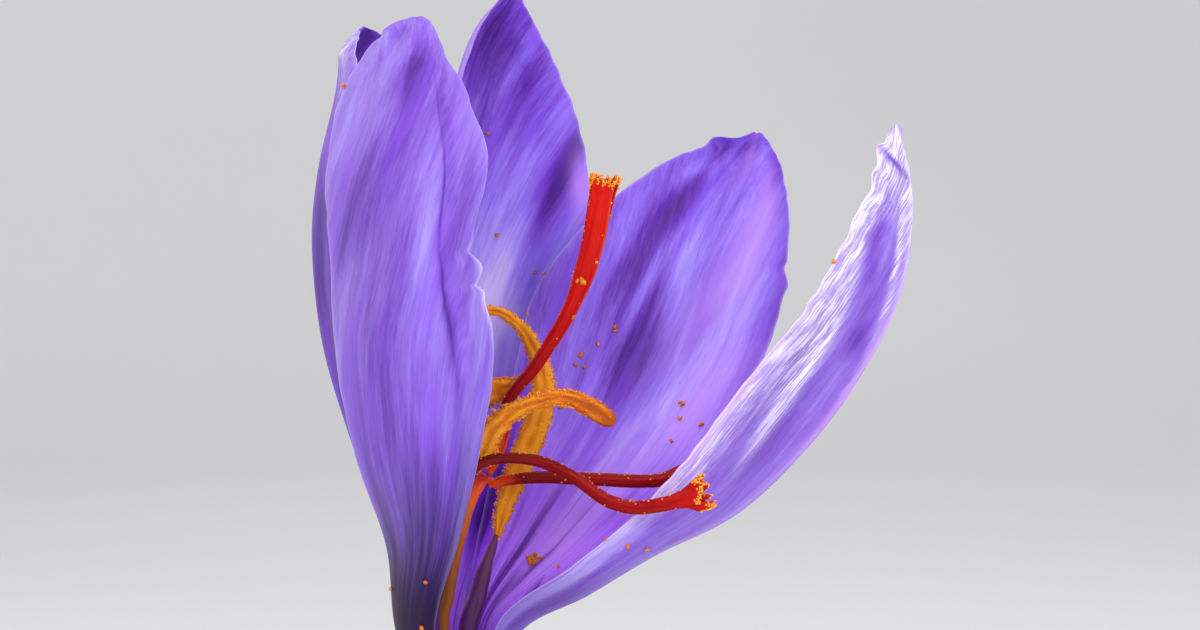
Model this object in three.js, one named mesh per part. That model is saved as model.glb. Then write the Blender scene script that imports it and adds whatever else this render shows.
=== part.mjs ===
// A saffron crocus in flower on its corm, standing on the corm's flat base.
// Millimetres, +Z up. The origin is the centre of the corm's base. The open side of the flower faces -Y.
import * as THREE from 'three';

// ---------------------------------------------------------------- driving dimensions

const TOUCH_GAP = 0.3; // kept between neighbouring pieces

const CORM_RADIUS = 17.5; // at its widest, CORM_WAIST above the base
const CORM_BASE_RADIUS = 9; // the flat scar that the corm stands on
const CORM_WAIST = 9.5;
const CORM_TOP = 24; // floor of the neck, where the shoot leaves the corm
const CORM_RIBS = 24; // fibres of the coat that stand out from it
const CORM_RIB_HEIGHT = 0.45;
const NECK_INNER_RADIUS = 4.65;
const NECK_WALL = 0.75;

const SHEATH_WALL = 0.6;
const OUTER_SHEATH = { radius: 4.3, mouth: 39, peak: 46, peakBearing: 215, flare: 0.5 };
const INNER_SHEATH = { radius: 3.4, mouth: 51, peak: 59, peakBearing: 55, flare: 0.35 };

const LEAF_WIDTH = 1.7;
const LEAF_THICKNESS = 0.76;
const LEAF_RING_RADIUS = 2.07; // of the leaves' middles, between the flower's tube and the inner sheath
const LEAF_CLEARANCE = 0.8; // a leaf starts to lean away this far above the sheath's mouth

const TUBE_RADIUS = 1.35;
const THROAT = 80; // height at which the tube divides into the six tepals
const THROAT_RADIUS = 2.4; // of the ring of tepal bases
const THROAT_CUP_DEPTH = 2.1;

const TEPAL_THICKNESS = 0.64;
const TEPAL_BASE_WIDTH = 2.05;
const MARGIN_WAVE = 0.15; // how far a tepal's waved margin leaves its smooth line

const SHOOT_BOW = 1.0; // the shoot leans this far to one side, half way up
const SHOOT_BOW_BEARING = 150;

const ROWS_ALONG_TEPAL = 16;
const COLUMNS_ACROSS_TEPAL = 8;

// ---------------------------------------------------------------- finishes

const finish = (color, roughness) => new THREE.MeshStandardMaterial({ color, roughness, metalness: 0 });
const FINISHES = {
  corm: finish(0x8a5a34, 0.9),
  sheath: finish(0xe6dcc3, 0.6),
  leaf: finish(0x4f7a35, 0.55),
  tube: finish(0xd9cdea, 0.5),
  tepal: finish(0x9a80dc, 0.5),
  filament: finish(0xa8708f, 0.5),
  anther: finish(0xeaa022, 0.8),
  style: finish(0xe0661c, 0.45),
  stigma: finish(0xc9260f, 0.4),
};

// ---------------------------------------------------------------- small helpers

const vec = (x, y, z) => new THREE.Vector3(x, y, z);
const radians = (degrees) => (degrees * Math.PI) / 180;
const mix = (a, b, t) => a + (b - a) * t;
const clamp01 = (t) => Math.min(1, Math.max(0, t));
const smooth = (t) => clamp01(t) ** 2 * (3 - 2 * clamp01(t));
const around = (bearing, radius, z) =>
  vec(radius * Math.cos(radians(bearing)), radius * Math.sin(radians(bearing)), z);

// A repeatable number from 0 to 1 for each whole number.
const scatter = (n) => {
  const s = Math.sin(n * 12.9898 + 4.137) * 43758.5453;
  return s - Math.floor(s);
};

// A smooth curve through hand-placed points, with even spacing in its parameter.
const through = (points) => {
  const curve = new THREE.CatmullRomCurve3(points, false, 'catmullrom', 0.5);
  return (t) => curve.getPoint(clamp01(t));
};

// A value that follows a list of numbers evenly spaced from 0 to 1.
const follow = (values) => (t) => {
  const place = clamp01(t) * (values.length - 1);
  const i = Math.min(Math.floor(place), values.length - 2);
  return mix(values[i], values[i + 1], smooth(place - i));
};

// The shoot's gentle bow between the corm and the throat.
const shootAxis = (z) => {
  const t = clamp01((z - CORM_TOP) / (THROAT - CORM_TOP));
  return around(SHOOT_BOW_BEARING, SHOOT_BOW * Math.sin(Math.PI * t) ** 2, 0);
};

// A mesh from a list of points and a list of triangles.
const solid = (name, points, faces, material) => {
  const geometry = new THREE.BufferGeometry();
  const coordinates = points.flatMap((p) => [p.x, p.y, p.z]);
  geometry.setAttribute('position', new THREE.Float32BufferAttribute(coordinates, 3));
  geometry.setIndex(faces.flat());
  geometry.computeVertexNormals();
  const mesh = new THREE.Mesh(geometry, material);
  mesh.name = name;
  return mesh;
};

// Joins closed rings of equal size into a skin. The rings run anticlockwise seen from the last one.
const ringSkin = (rings, closing) => {
  const size = rings[0].length;
  const points = rings.flat();
  const faces = [];
  for (let r = 0; r + 1 < rings.length; r += 1) {
    for (let i = 0; i < size; i += 1) {
      const a = r * size + i;
      const b = r * size + ((i + 1) % size);
      faces.push([a, b, b + size], [a, b + size, a + size]);
    }
  }
  if (closing.loop) {
    const last = (rings.length - 1) * size;
    for (let i = 0; i < size; i += 1) {
      const j = (i + 1) % size;
      faces.push([last + i, last + j, j], [last + i, j, i]);
    }
    return { points, faces };
  }
  const start = points.push(closing.start) - 1;
  const end = points.push(closing.end) - 1;
  const last = (rings.length - 1) * size;
  for (let i = 0; i < size; i += 1) {
    const j = (i + 1) % size;
    faces.push([start, j, i], [end, last + i, last + j]);
  }
  return { points, faces };
};

// ---------------------------------------------------------------- corm

// The corm in its netted coat: a squat globe on a flat scar, ribbed by fibres that run up to the neck,
// where they end in a ring of loose points round the shoot.
const makeCorm = () => {
  const sides = CORM_RIBS * 2;
  const profile = [
    [CORM_BASE_RADIUS, 0, 0],
    [CORM_BASE_RADIUS + 3.4, 0.9, 0.3],
    [CORM_RADIUS - 1.2, 4.2, 1],
    [CORM_RADIUS, CORM_WAIST, 1],
    [CORM_RADIUS - 0.9, CORM_WAIST + 3.6, 1],
    [CORM_RADIUS - 4.2, CORM_WAIST + 7.6, 1],
    [CORM_RADIUS - 8.2, CORM_WAIST + 10.6, 0.8],
    [CORM_RADIUS - 10.9, CORM_TOP - 1.8, 0.5],
    [NECK_INNER_RADIUS + NECK_WALL, CORM_TOP + 0.8, 0.1],
  ];
  const ring = (radius, z, ribs) =>
    Array.from({ length: sides }, (_, i) => {
      const rib = i % 2 === 0 ? 1 : -1;
      const lump = 0.3 * ribs * Math.sin(i * 0.393 + z * 0.21) + 0.22 * ribs * Math.sin(i * 0.916 + 1.7);
      return around((i * 360) / sides, radius + rib * 0.5 * CORM_RIB_HEIGHT * ribs + lump, z);
    });
  const tips = (radius) =>
    Array.from({ length: sides }, (_, i) => {
      const height = i % 2 === 0 ? 4.5 + 4.5 * scatter(i) : 2.2 + 1.2 * scatter(i);
      const lean = i % 2 === 0 ? 0.25 : 0;
      return around((i * 360) / sides, radius + lean, CORM_TOP + height);
    });
  const rings = profile.map(([radius, z, ribs]) => ring(radius, z, ribs));
  rings.push(tips(NECK_INNER_RADIUS + NECK_WALL));
  rings.push(tips(NECK_INNER_RADIUS));
  rings.push(ring(NECK_INNER_RADIUS, CORM_TOP, 0));
  const skin = ringSkin(rings, { start: vec(0, 0, 0), end: vec(0, 0, CORM_TOP) });
  return solid('corm', skin.points, skin.faces, FINISHES.corm);
};

// ---------------------------------------------------------------- sheaths

// The slanting mouth of a sheath rises to a point on one side.
const mouthHeight = ({ mouth, peak, peakBearing }, bearing) =>
  mix(mouth, peak, ((1 + Math.cos(radians(bearing - peakBearing))) / 2) ** 3);

// A papery tube round the shoot.
const makeSheath = (name, sheath) => {
  const sides = 20;
  const rows = 6;
  const wallRing = (offset, t) =>
    Array.from({ length: sides }, (_, i) => {
      const bearing = (i * 360) / sides;
      const z = mix(CORM_TOP + TOUCH_GAP, mouthHeight(sheath, bearing), t);
      const radius = sheath.radius + offset + sheath.flare * smooth((t - 0.6) / 0.4);
      return around(bearing, radius, z).add(shootAxis(z));
    });
  const rings = [];
  for (let r = 0; r <= rows; r += 1) rings.push(wallRing(0, r / rows));
  for (let r = rows; r >= 0; r -= 1) rings.push(wallRing(-SHEATH_WALL, r / rows));
  const skin = ringSkin(rings, { loop: true });
  return solid(name, skin.points, skin.faces, FINISHES.sheath);
};

// ---------------------------------------------------------------- strands

// A strand along a curve with an oval section. Its broad side faces the direction facing.
// grooved sinks a furrow down both broad sides, and mouth opens its end into a toothed cup of that depth.
const makeStrand = (name, material, spec) => {
  const { path, halfWidth, halfDepth, facing = vec(0, -1, 0), sides = 8, steps = 12 } = spec;
  const { grooved = 0, mouth = 0 } = spec;
  const centre = through(path);
  const width = follow(halfWidth);
  const depth = follow(halfDepth);
  const section = (t) => {
    const tangent = centre(t + 0.01).sub(centre(t - 0.01)).normalize();
    const across = facing.clone().cross(tangent).normalize();
    const front = tangent.clone().cross(across);
    return Array.from({ length: sides }, (_, i) => {
      const angle = (i * 2 * Math.PI) / sides;
      const furrow = 1 - grooved * Math.exp(-((Math.cos(angle) / 0.4) ** 2));
      const tooth = t === 1 ? mouth * (i % 2 === 0 ? 0.25 : -0.25) : 0;
      return centre(t)
        .addScaledVector(across, width(t) * Math.cos(angle))
        .addScaledVector(front, depth(t) * Math.sin(angle) * furrow)
        .addScaledVector(tangent, tooth);
    });
  };
  const rings = Array.from({ length: steps + 1 }, (_, i) => section(i / steps));
  const skin = ringSkin(rings, { start: centre(0), end: centre(1 - mouth * 0.04) });
  return solid(name, skin.points, skin.faces, material);
};

// ---------------------------------------------------------------- leaves

// How far each young leaf leans out, how high its tip reaches and which way it stands.
const LEAVES = [
  { bearing: 18, reach: 13, tip: 78 },
  { bearing: 92, reach: 9, tip: 81 },
  { bearing: 164, reach: 12, tip: 76 },
  { bearing: 232, reach: 10, tip: 72 },
  { bearing: 304, reach: 8, tip: 67 },
];

const makeLeaf = (leaf, index) => {
  const foot = CORM_TOP + TOUCH_GAP;
  const parting = mouthHeight(INNER_SHEATH, leaf.bearing) + LEAF_CLEARANCE;
  const point = (t) => {
    const z = mix(foot, leaf.tip, t);
    const leaning = clamp01((z - parting) / (leaf.tip - parting));
    const radius = LEAF_RING_RADIUS + (leaf.reach - LEAF_RING_RADIUS) * leaning ** 2;
    return around(leaf.bearing, radius, z).add(shootAxis(Math.min(z, parting)));
  };
  const stops = 10;
  const path = Array.from({ length: stops + 1 }, (_, i) => point(i / stops));
  return makeStrand(`leaf_${index + 1}`, FINISHES.leaf, {
    path,
    halfWidth: [0.5, 0.5, 0.5, 0.5, 0.5, 0.5, 0.48, 0.42, 0.18].map((w) => w * LEAF_WIDTH),
    halfDepth: [0.5, 0.5, 0.5, 0.5, 0.5, 0.5, 0.5, 0.46, 0.3].map((d) => d * LEAF_THICKNESS),
    facing: around(leaf.bearing, 1, 0),
    sides: 6,
    steps: 14,
  });
};

// ---------------------------------------------------------------- perianth tube

// The slender stalk-like tube of the flower. It widens to a throat with a cup that holds the style and
// the filaments.
const makeTube = () => {
  const sides = 14;
  const foot = CORM_TOP + TOUCH_GAP;
  const rim = THROAT - TOUCH_GAP;
  const cupRadius = THROAT_RADIUS - TEPAL_THICKNESS / 2 - 0.1;
  const outerRim = THROAT_RADIUS + TEPAL_THICKNESS / 2 + 0.1;
  const profile = [
    [TUBE_RADIUS, foot],
    [TUBE_RADIUS, mix(foot, rim, 0.25)],
    [TUBE_RADIUS, mix(foot, rim, 0.5)],
    [TUBE_RADIUS, mix(foot, rim, 0.7)],
    [TUBE_RADIUS + 0.15, mix(foot, rim, 0.82)],
    [TUBE_RADIUS + 0.6, mix(foot, rim, 0.91)],
    [outerRim - 0.12, rim - THROAT_CUP_DEPTH],
    [outerRim, rim],
    [cupRadius, rim],
    [cupRadius - 0.1, rim - THROAT_CUP_DEPTH],
  ];
  const rings = profile.map(([radius, z]) =>
    Array.from({ length: sides }, (_, i) => around((i * 360) / sides, radius, z).add(shootAxis(z))),
  );
  const start = vec(0, 0, foot).add(shootAxis(foot));
  const end = vec(0, 0, rim - THROAT_CUP_DEPTH).add(shootAxis(rim - THROAT_CUP_DEPTH));
  const skin = ringSkin(rings, { start, end });
  return solid('perianth_tube', skin.points, skin.faces, FINISHES.tube);
};

// ---------------------------------------------------------------- tepals

// Each tepal is a thin waved sheet through three lines: its midrib and its two margins, named by the way
// they lie from the midrib seen from above. The lines start at the throat and end at the tip.
const TEPALS = {
  tepal_front_left: {
    bearing: 235,
    clockwise: [
      [-4.1, -2.6, 87.5], [-4.7, -3.0, 93.5], [-6.8, -2.8, 99.8], [-8.2, -2.2, 107.1], [-8.6, -1.8, 114.0],
      [-8.8, -1.6, 119.4], [-7.7, -1.8, 124.7], [-5.7, -3.0, 128.1], [-4.1, -4.4, 129.7],
    ],
    midrib: [
      [-2.9, -4.3, 87.6], [-2.1, -7.2, 94.5], [-2.4, -9.6, 101.0], [-2.9, -11.0, 107.9], [-3.0, -11.0, 114.3],
      [-2.9, -9.8, 120.2], [-2.7, -8.0, 125.2], [-2.6, -6.4, 128.2], [-2.4, -5.4, 130.1],
    ],
    anticlockwise: [
      [-1.3, -4.6, 87.8], [0.5, -6.8, 94.5], [2.1, -8.0, 101.2], [2.9, -8.4, 108.0], [1.5, -8.2, 114.4],
      [2.6, -7.2, 120.1], [1.2, -6.2, 124.6], [-0.5, -5.2, 128.1], [-1.5, -5.2, 129.9],
    ],
  },
  tepal_left: {
    bearing: 175,
    clockwise: [
      [-3.5, 2.3, 87.3], [-4.2, 4.8, 93.4], [-6.0, 8.0, 100.2], [-7.7, 9.8, 107.0], [-8.3, 10.6, 113.2],
      [-7.9, 10.6, 119.0], [-6.4, 9.8, 124.5], [-5.5, 8.2, 127.9], [-6.1, 6.6, 129.2],
    ],
    midrib: [
      [-3.9, 0.6, 87.3], [-4.9, 1.4, 93.2], [-7.4, 2.4, 100.2], [-9.4, 3.8, 106.8], [-10.2, 4.8, 113.6],
      [-9.8, 5.2, 119.2], [-8.7, 5.6, 124.6], [-8.2, 5.8, 127.8], [-6.7, 5.8, 129.4],
    ],
    anticlockwise: [
      [-3.1, -0.9, 87.3], [-3.8, -1.9, 93.7], [-4.7, -2.6, 100.1], [-4.9, -2.8, 107.1], [-5.1, -2.2, 114.0],
      [-5.5, -1.0, 119.2], [-6.7, 1.0, 124.7], [-7.0, 3.0, 127.6], [-6.8, 4.8, 129.2],
    ],
  },
  tepal_back: {
    bearing: 115,
    clockwise: [
      [0.7, 6.0, 86.7], [3.0, 9.9, 93.4], [6.4, 13.2, 100.3], [8.5, 15.2, 107.6], [9.4, 15.4, 115.8],
      [8.7, 14.4, 121.8], [7.2, 13.2, 125.9], [5.4, 12.2, 129.6], [4.3, 11.2, 131.9],
    ],
    midrib: [
      [-2.1, 5.0, 86.8], [-1.0, 9.2, 93.5], [-0.3, 12.2, 100.5], [0.4, 13.6, 107.8], [0.8, 14.0, 114.4],
      [1.0, 13.6, 120.3], [0.9, 12.8, 125.4], [1.7, 11.8, 129.2], [3.8, 10.8, 132.0],
    ],
    anticlockwise: [
      [-2.8, 4.0, 86.8], [-3.8, 7.0, 93.1], [-4.0, 9.6, 100.0], [-3.0, 10.6, 107.3], [-1.5, 10.2, 114.6],
      [-0.6, 9.2, 120.5], [0.2, 7.8, 125.6], [1.5, 7.6, 129.2], [3.1, 9.6, 131.8],
    ],
  },
  tepal_back_right: {
    bearing: 55,
    clockwise: [
      [2.8, 2.4, 87.3], [9.4, 3.4, 92.0], [16.1, 5.6, 97.6], [20.6, 8.2, 103.9], [23.2, 10.0, 108.7],
      [24.0, 11.8, 114.9], [23.6, 12.8, 118.7], [22.4, 13.4, 121.4],
    ],
    midrib: [
      [1.5, 3.9, 86.9], [5.4, 7.0, 93.1], [9.9, 9.8, 99.3], [13.7, 12.2, 105.2], [17.1, 14.0, 111.3],
      [19.6, 14.6, 116.2], [21.0, 14.4, 119.2], [21.7, 13.8, 121.7],
    ],
    anticlockwise: [
      [0.3, 3.9, 86.9], [1.9, 6.6, 95.3], [3.6, 9.0, 102.9], [5.1, 11.0, 109.5], [8.9, 12.6, 114.9],
      [14.2, 13.6, 119.0], [18.0, 13.8, 120.6], [20.9, 13.4, 121.5],
    ],
  },
  tepal_right: {
    bearing: 355,
    clockwise: [
      [2.9, -1.6, 87.6], [8.1, -3.2, 92.0], [12.2, -4.2, 95.5], [16.3, -5.0, 100.0], [20.4, -5.2, 105.6],
      [24.4, -4.8, 110.6], [27.2, -3.8, 115.4], [29.1, -2.4, 119.7], [30.3, -0.6, 122.4],
    ],
    midrib: [
      [3.9, 0.2, 86.9], [9.4, 0.0, 90.4], [14.0, 0.0, 92.4], [19.9, 0.0, 95.5], [25.2, 0.0, 100.8],
      [29.1, 0.0, 106.5], [31.3, 0.0, 111.9], [31.9, 0.0, 117.4], [30.8, 0.0, 122.7],
    ],
    anticlockwise: [
      [3.7, 1.8, 87.1], [9.3, 4.2, 90.9], [13.6, 5.4, 93.4], [18.3, 6.6, 98.1], [22.3, 7.2, 103.2],
      [26.1, 6.8, 109.2], [28.7, 5.4, 114.9], [30.2, 3.2, 119.6], [31.3, 0.6, 122.4],
    ],
  },
  tepal_front: {
    bearing: 295,
    clockwise: [
      [-0.6, -6.2, 83.9], [-1.9, -12.6, 87.0], [-2.9, -20.4, 87.8], [-1.9, -28.9, 85.8], [1.0, -37.2, 81.1],
      [4.8, -42.0, 76.8], [8.4, -43.8, 74.3],
    ],
    midrib: [
      [2.0, -6.6, 83.0], [3.6, -13.6, 84.8], [5.2, -21.5, 85.0], [6.8, -29.5, 83.4], [8.2, -37.0, 79.8],
      [8.9, -41.6, 76.4], [9.2, -43.6, 74.4],
    ],
    anticlockwise: [
      [4.5, -5.6, 83.9], [9.0, -11.0, 87.0], [13.2, -18.6, 87.8], [15.2, -27.6, 85.8], [15.2, -36.2, 81.1],
      [12.9, -41.4, 76.8], [10.2, -43.6, 74.3],
    ],
  },
};

const makeTepal = (name, tepal, index) => {
  const side = tepal.bearing + 90;
  const baseLine = (offset) => around(tepal.bearing, THROAT_RADIUS, THROAT).add(around(side, offset, 0));
  const line = (points, offset) => through([baseLine(offset), ...points.map(([x, y, z]) => vec(x, y, z))]);
  const clockwise = line(tepal.clockwise, -TEPAL_BASE_WIDTH / 2);
  const midrib = line(tepal.midrib, 0);
  const anticlockwise = line(tepal.anticlockwise, TEPAL_BASE_WIDTH / 2);

  // The middle of the sheet. u runs from the throat to the tip and v from margin to margin, -1 to 1.
  const sheet = (u, v) =>
    clockwise(u)
      .multiplyScalar((v * v - v) / 2)
      .add(midrib(u).multiplyScalar(1 - v * v))
      .add(anticlockwise(u).multiplyScalar((v * v + v) / 2));

  const inward = (u, v) => {
    const u0 = Math.min(u, 0.97);
    const along = sheet(u0 + 0.02, v).sub(sheet(Math.max(u0 - 0.02, 0), v));
    const across = sheet(u0, Math.min(v + 0.05, 1)).sub(sheet(u0, Math.max(v - 0.05, -1)));
    return along.cross(across).normalize();
  };

  const waves = (u, v) => {
    const reach = smooth((u - 0.3) / 0.25) * (1 - smooth((u - 0.85) / 0.15));
    return MARGIN_WAVE * reach * Math.abs(v) ** 3 * Math.sin(19 * u + 2.4 * Math.sign(v) + index * 1.9);
  };

  // The base row is level, so that it meets the tube's rim all the way round.
  const face = (offset) => {
    const points = [];
    for (let i = 0; i <= ROWS_ALONG_TEPAL; i += 1) {
      for (let j = 0; j <= COLUMNS_ACROSS_TEPAL; j += 1) {
        const u = i / ROWS_ALONG_TEPAL;
        const v = (2 * j) / COLUMNS_ACROSS_TEPAL - 1;
        const normal = i === 0 ? around(tepal.bearing + 180, 1, 0) : inward(u, v);
        points.push(sheet(u, v).addScaledVector(normal, offset + waves(u, v)));
      }
    }
    return points;
  };
  const points = [...face(TEPAL_THICKNESS / 2), ...face(-TEPAL_THICKNESS / 2)];

  const columns = COLUMNS_ACROSS_TEPAL + 1;
  const outerFace = (ROWS_ALONG_TEPAL + 1) * columns;
  const at = (i, j) => i * columns + j;
  const faces = [];
  for (let i = 0; i < ROWS_ALONG_TEPAL; i += 1) {
    for (let j = 0; j < COLUMNS_ACROSS_TEPAL; j += 1) {
      const [a, b, c, d] = [at(i, j), at(i + 1, j), at(i + 1, j + 1), at(i, j + 1)];
      faces.push([a, b, c], [a, c, d]);
      faces.push([outerFace + a, outerFace + c, outerFace + b]);
      faces.push([outerFace + a, outerFace + d, outerFace + c]);
    }
  }
  const rim = (a, b) => faces.push([a, outerFace + b, b], [a, outerFace + a, outerFace + b]);
  for (let i = 0; i < ROWS_ALONG_TEPAL; i += 1) {
    rim(at(i, 0), at(i + 1, 0));
    rim(at(i + 1, COLUMNS_ACROSS_TEPAL), at(i, COLUMNS_ACROSS_TEPAL));
  }
  for (let j = 0; j < COLUMNS_ACROSS_TEPAL; j += 1) {
    rim(at(0, j + 1), at(0, j));
    rim(at(ROWS_ALONG_TEPAL, j), at(ROWS_ALONG_TEPAL, j + 1));
  }
  return solid(name, points, faces, FINISHES.tepal);
};

// ---------------------------------------------------------------- stamens and pistil

const CUP_FLOOR = THROAT - THROAT_CUP_DEPTH; // where the style and the filaments stand in the throat
const FILAMENT_RING_RADIUS = 1.17;

// Each filament stands in the throat at the foot of an outer tepal and carries one anther.
const STAMENS = [
  {
    bearing: 355,
    filament: [[1.0, 0.5, 83.0], [0.8, 0.9, 86.8], [1.4, 1.4, 89.0], [1.9, 1.9, 90.8], [2.35, 2.25, 92.2]],
    anther: [
      [2.7, 2.5, 92.9], [3.4, 2.8, 95.5], [4.3, 3.0, 98.0], [5.2, 3.3, 100.1], [5.9, 3.6, 102.2],
      [6.1, 3.8, 104.3], [5.5, 3.9, 106.5], [4.4, 3.9, 108.2], [3.0, 3.8, 109.2], [1.6, 3.6, 109.3],
    ],
  },
  {
    bearing: 235,
    filament: [[-1.5, -1.7, 84.0], [-1.7, -2.3, 89.0], [-1.0, -2.9, 93.5], [0.2, -3.3, 96.5]],
    anther: [
      [0.6, -3.4, 97.3], [1.9, -3.5, 99.9], [2.8, -3.3, 101.7], [4.2, -3.0, 102.9], [6.0, -2.6, 103.6],
      [7.7, -2.4, 103.8], [9.4, -2.2, 103.1], [11.2, -2.1, 101.9],
    ],
  },
  {
    bearing: 115,
    filament: [[-1.3, 1.4, 84.0], [-1.9, 1.5, 89.0], [-1.7, 1.4, 93.5], [-0.95, 1.3, 96.7]],
    anther: [[-0.7, 1.3, 97.5], [-0.1, 1.5, 100.3], [1.3, 1.7, 102.8], [2.9, 1.9, 103.9], [4.7, 2.0, 104.3]],
  },
];

const pointsOf = (list) => list.map(([x, y, z]) => vec(x, y, z));

const makeStamen = (stamen, index) => {
  const foot = around(stamen.bearing, FILAMENT_RING_RADIUS, CUP_FLOOR);
  const leavingThroat = around(stamen.bearing, FILAMENT_RING_RADIUS, THROAT + 1);
  const filament = makeStrand(`filament_${index + 1}`, FINISHES.filament, {
    path: [foot, leavingThroat, ...pointsOf(stamen.filament)],
    halfWidth: [0.36, 0.4, 0.58, 0.6, 0.5, 0.3],
    halfDepth: [0.32, 0.32, 0.34, 0.34, 0.32, 0.3],
    steps: 9,
  });
  const anther = makeStrand(`anther_${index + 1}`, FINISHES.anther, {
    path: pointsOf(stamen.anther),
    halfWidth: [0.32, 0.75, 0.92, 0.92, 0.85, 0.7, 0.4],
    halfDepth: [0.3, 0.52, 0.6, 0.6, 0.56, 0.48, 0.32],
    grooved: 0.35,
    sides: 10,
    steps: 12,
  });
  return [filament, anther];
};

const STYLE = [
  [-0.9, 0.0, 87.0], [-0.6, 0.0, 89.3], [-0.2, -0.1, 91.8], [0.3, -0.2, 93.8], [0.7, -0.2, 95.4],
  [1.2, -0.1, 96.6], [1.55, -0.1, 97.2],
];

const makeStyle = () =>
  makeStrand('style', FINISHES.style, {
    path: [vec(0, 0, CUP_FLOOR), ...pointsOf(STYLE)],
    halfWidth: [0.4, 0.5, 0.52, 0.5, 0.42],
    halfDepth: [0.4, 0.48, 0.5, 0.48, 0.4],
    steps: 10,
  });

// The style divides into three branches, each flaring into a stigma with a toothed, cupped end.
const STIGMAS = [
  [
    [2.3, 0.3, 98.1], [3.1, 0.5, 99.6], [3.5, 0.6, 101.3], [3.5, 0.5, 102.7], [4.2, 0.4, 104.0],
    [5.4, 0.5, 105.4], [6.8, 0.5, 107.5], [8.1, 0.4, 109.8], [9.0, 0.3, 112.1], [9.7, 0.2, 114.6],
    [10.2, 0.1, 117.0], [10.6, 0.0, 119.0],
  ],
  [
    [2.0, -1.0, 98.0], [1.6, -1.5, 98.6], [1.9, -1.9, 99.1], [2.6, -2.0, 99.4], [4.2, -2.1, 99.5],
    [6.0, -2.4, 99.3], [7.4, -3.0, 98.8], [8.8, -3.9, 98.1], [10.2, -4.8, 97.2], [11.2, -5.4, 96.8],
    [12.6, -6.0, 96.6], [14.3, -6.6, 96.9], [16.0, -7.0, 97.4], [17.5, -7.3, 97.9],
  ],
  [
    [2.8, 0.8, 97.3], [3.3, 0.7, 97.5], [4.5, 0.6, 97.7], [6.3, 0.6, 97.8], [8.4, 0.7, 97.7],
    [10.5, 0.8, 97.6], [12.6, 0.8, 97.5], [14.4, 0.7, 97.6], [15.8, 0.6, 98.1], [17.2, 0.4, 98.7],
    [18.2, 0.2, 99.1],
  ],
];

const makeStigma = (points, index) =>
  makeStrand(`stigma_${index + 1}`, FINISHES.stigma, {
    path: pointsOf(points),
    halfWidth: [0.32, 0.36, 0.42, 0.5, 0.58, 0.64, 0.72, 0.86, 1.05],
    halfDepth: [0.32, 0.33, 0.34, 0.36, 0.38, 0.4, 0.42, 0.46, 0.5],
    mouth: 1,
    sides: 10,
    steps: 18,
  });

// ---------------------------------------------------------------- the plant

const crocus = new THREE.Group();
crocus.add(makeCorm());
crocus.add(makeSheath('sheath_outer', OUTER_SHEATH));
crocus.add(makeSheath('sheath_inner', INNER_SHEATH));
crocus.add(...LEAVES.map(makeLeaf));
crocus.add(makeTube());
crocus.add(...Object.entries(TEPALS).map(([name, tepal], index) => makeTepal(name, tepal, index)));
crocus.add(...STAMENS.flatMap(makeStamen));
crocus.add(makeStyle());
crocus.add(...STIGMAS.map(makeStigma));

export default crocus;
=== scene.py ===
"""A saffron crocus in flower on its corm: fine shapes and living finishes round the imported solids."""

import math

import bpy
import numpy as np
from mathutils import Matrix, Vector
from mathutils.bvhtree import BVHTree


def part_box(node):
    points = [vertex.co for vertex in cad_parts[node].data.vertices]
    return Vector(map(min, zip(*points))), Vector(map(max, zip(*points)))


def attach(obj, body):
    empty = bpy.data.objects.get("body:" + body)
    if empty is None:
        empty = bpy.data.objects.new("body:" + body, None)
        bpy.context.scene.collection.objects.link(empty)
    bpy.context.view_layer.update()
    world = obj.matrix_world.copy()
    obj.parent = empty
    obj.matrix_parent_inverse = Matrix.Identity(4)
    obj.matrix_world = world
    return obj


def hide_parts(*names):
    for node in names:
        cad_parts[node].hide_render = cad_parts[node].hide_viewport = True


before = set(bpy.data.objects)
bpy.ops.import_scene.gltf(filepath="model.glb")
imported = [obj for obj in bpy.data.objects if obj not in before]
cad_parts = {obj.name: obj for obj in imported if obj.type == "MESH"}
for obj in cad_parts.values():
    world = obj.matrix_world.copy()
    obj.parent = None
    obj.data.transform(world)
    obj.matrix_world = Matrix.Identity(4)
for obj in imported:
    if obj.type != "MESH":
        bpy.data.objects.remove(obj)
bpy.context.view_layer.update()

# ---------------------------------------------------------------- driving dimensions, in millimetres

MM = 0.001  # metres in a millimetre


def box_of(node):
    """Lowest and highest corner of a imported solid, in millimetres."""
    low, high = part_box(node)
    return np.array(low) / MM, np.array(high) / MM


TOUCH_GAP = 0.3
THROAT = box_of("perianth_tube")[1][2] + TOUCH_GAP  # height at which the tube divides into the tepals
NECK_FLOOR = box_of("perianth_tube")[0][2] - TOUCH_GAP  # height at which the shoot leaves the corm
CORM_REACH = box_of("corm")[1][0]
NECK_TIPS = box_of("corm")[1][2]
CORM_BASE_RADIUS = 9.0
NECK_INNER_RADIUS = 4.65

OUTER_SHEATH = {"radius": 4.3, "mouth": 39.0, "peak": 46.0, "peak_bearing": 215, "flare": 0.5}
INNER_SHEATH = {"radius": 3.4, "mouth": 51.0, "peak": 59.0, "peak_bearing": 55, "flare": 0.35}
SHEATH_WALL = 0.14
SHEATH_PLAY = 0.3  # by which the paper stays inside its solid

LEAF_WIDTH = 1.7
LEAF_THICKNESS = 0.76
LEAF_RING_RADIUS = 2.07
LEAF_CLEARANCE = 0.8  # a leaf starts to lean away this far above the inner sheath's mouth
LEAVES = [
    {"bearing": 18, "reach": 13, "tip": 78},
    {"bearing": 92, "reach": 9, "tip": 81},
    {"bearing": 164, "reach": 12, "tip": 76},
    {"bearing": 232, "reach": 10, "tip": 72},
    {"bearing": 304, "reach": 8, "tip": 67},
]

TUBE_RADIUS = 1.35
THROAT_RADIUS = 2.4
CUP_FLOOR = THROAT - 2.1  # floor of the throat's cup, which the style and filaments rise from
FILAMENT_RING_RADIUS = 1.17

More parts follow.
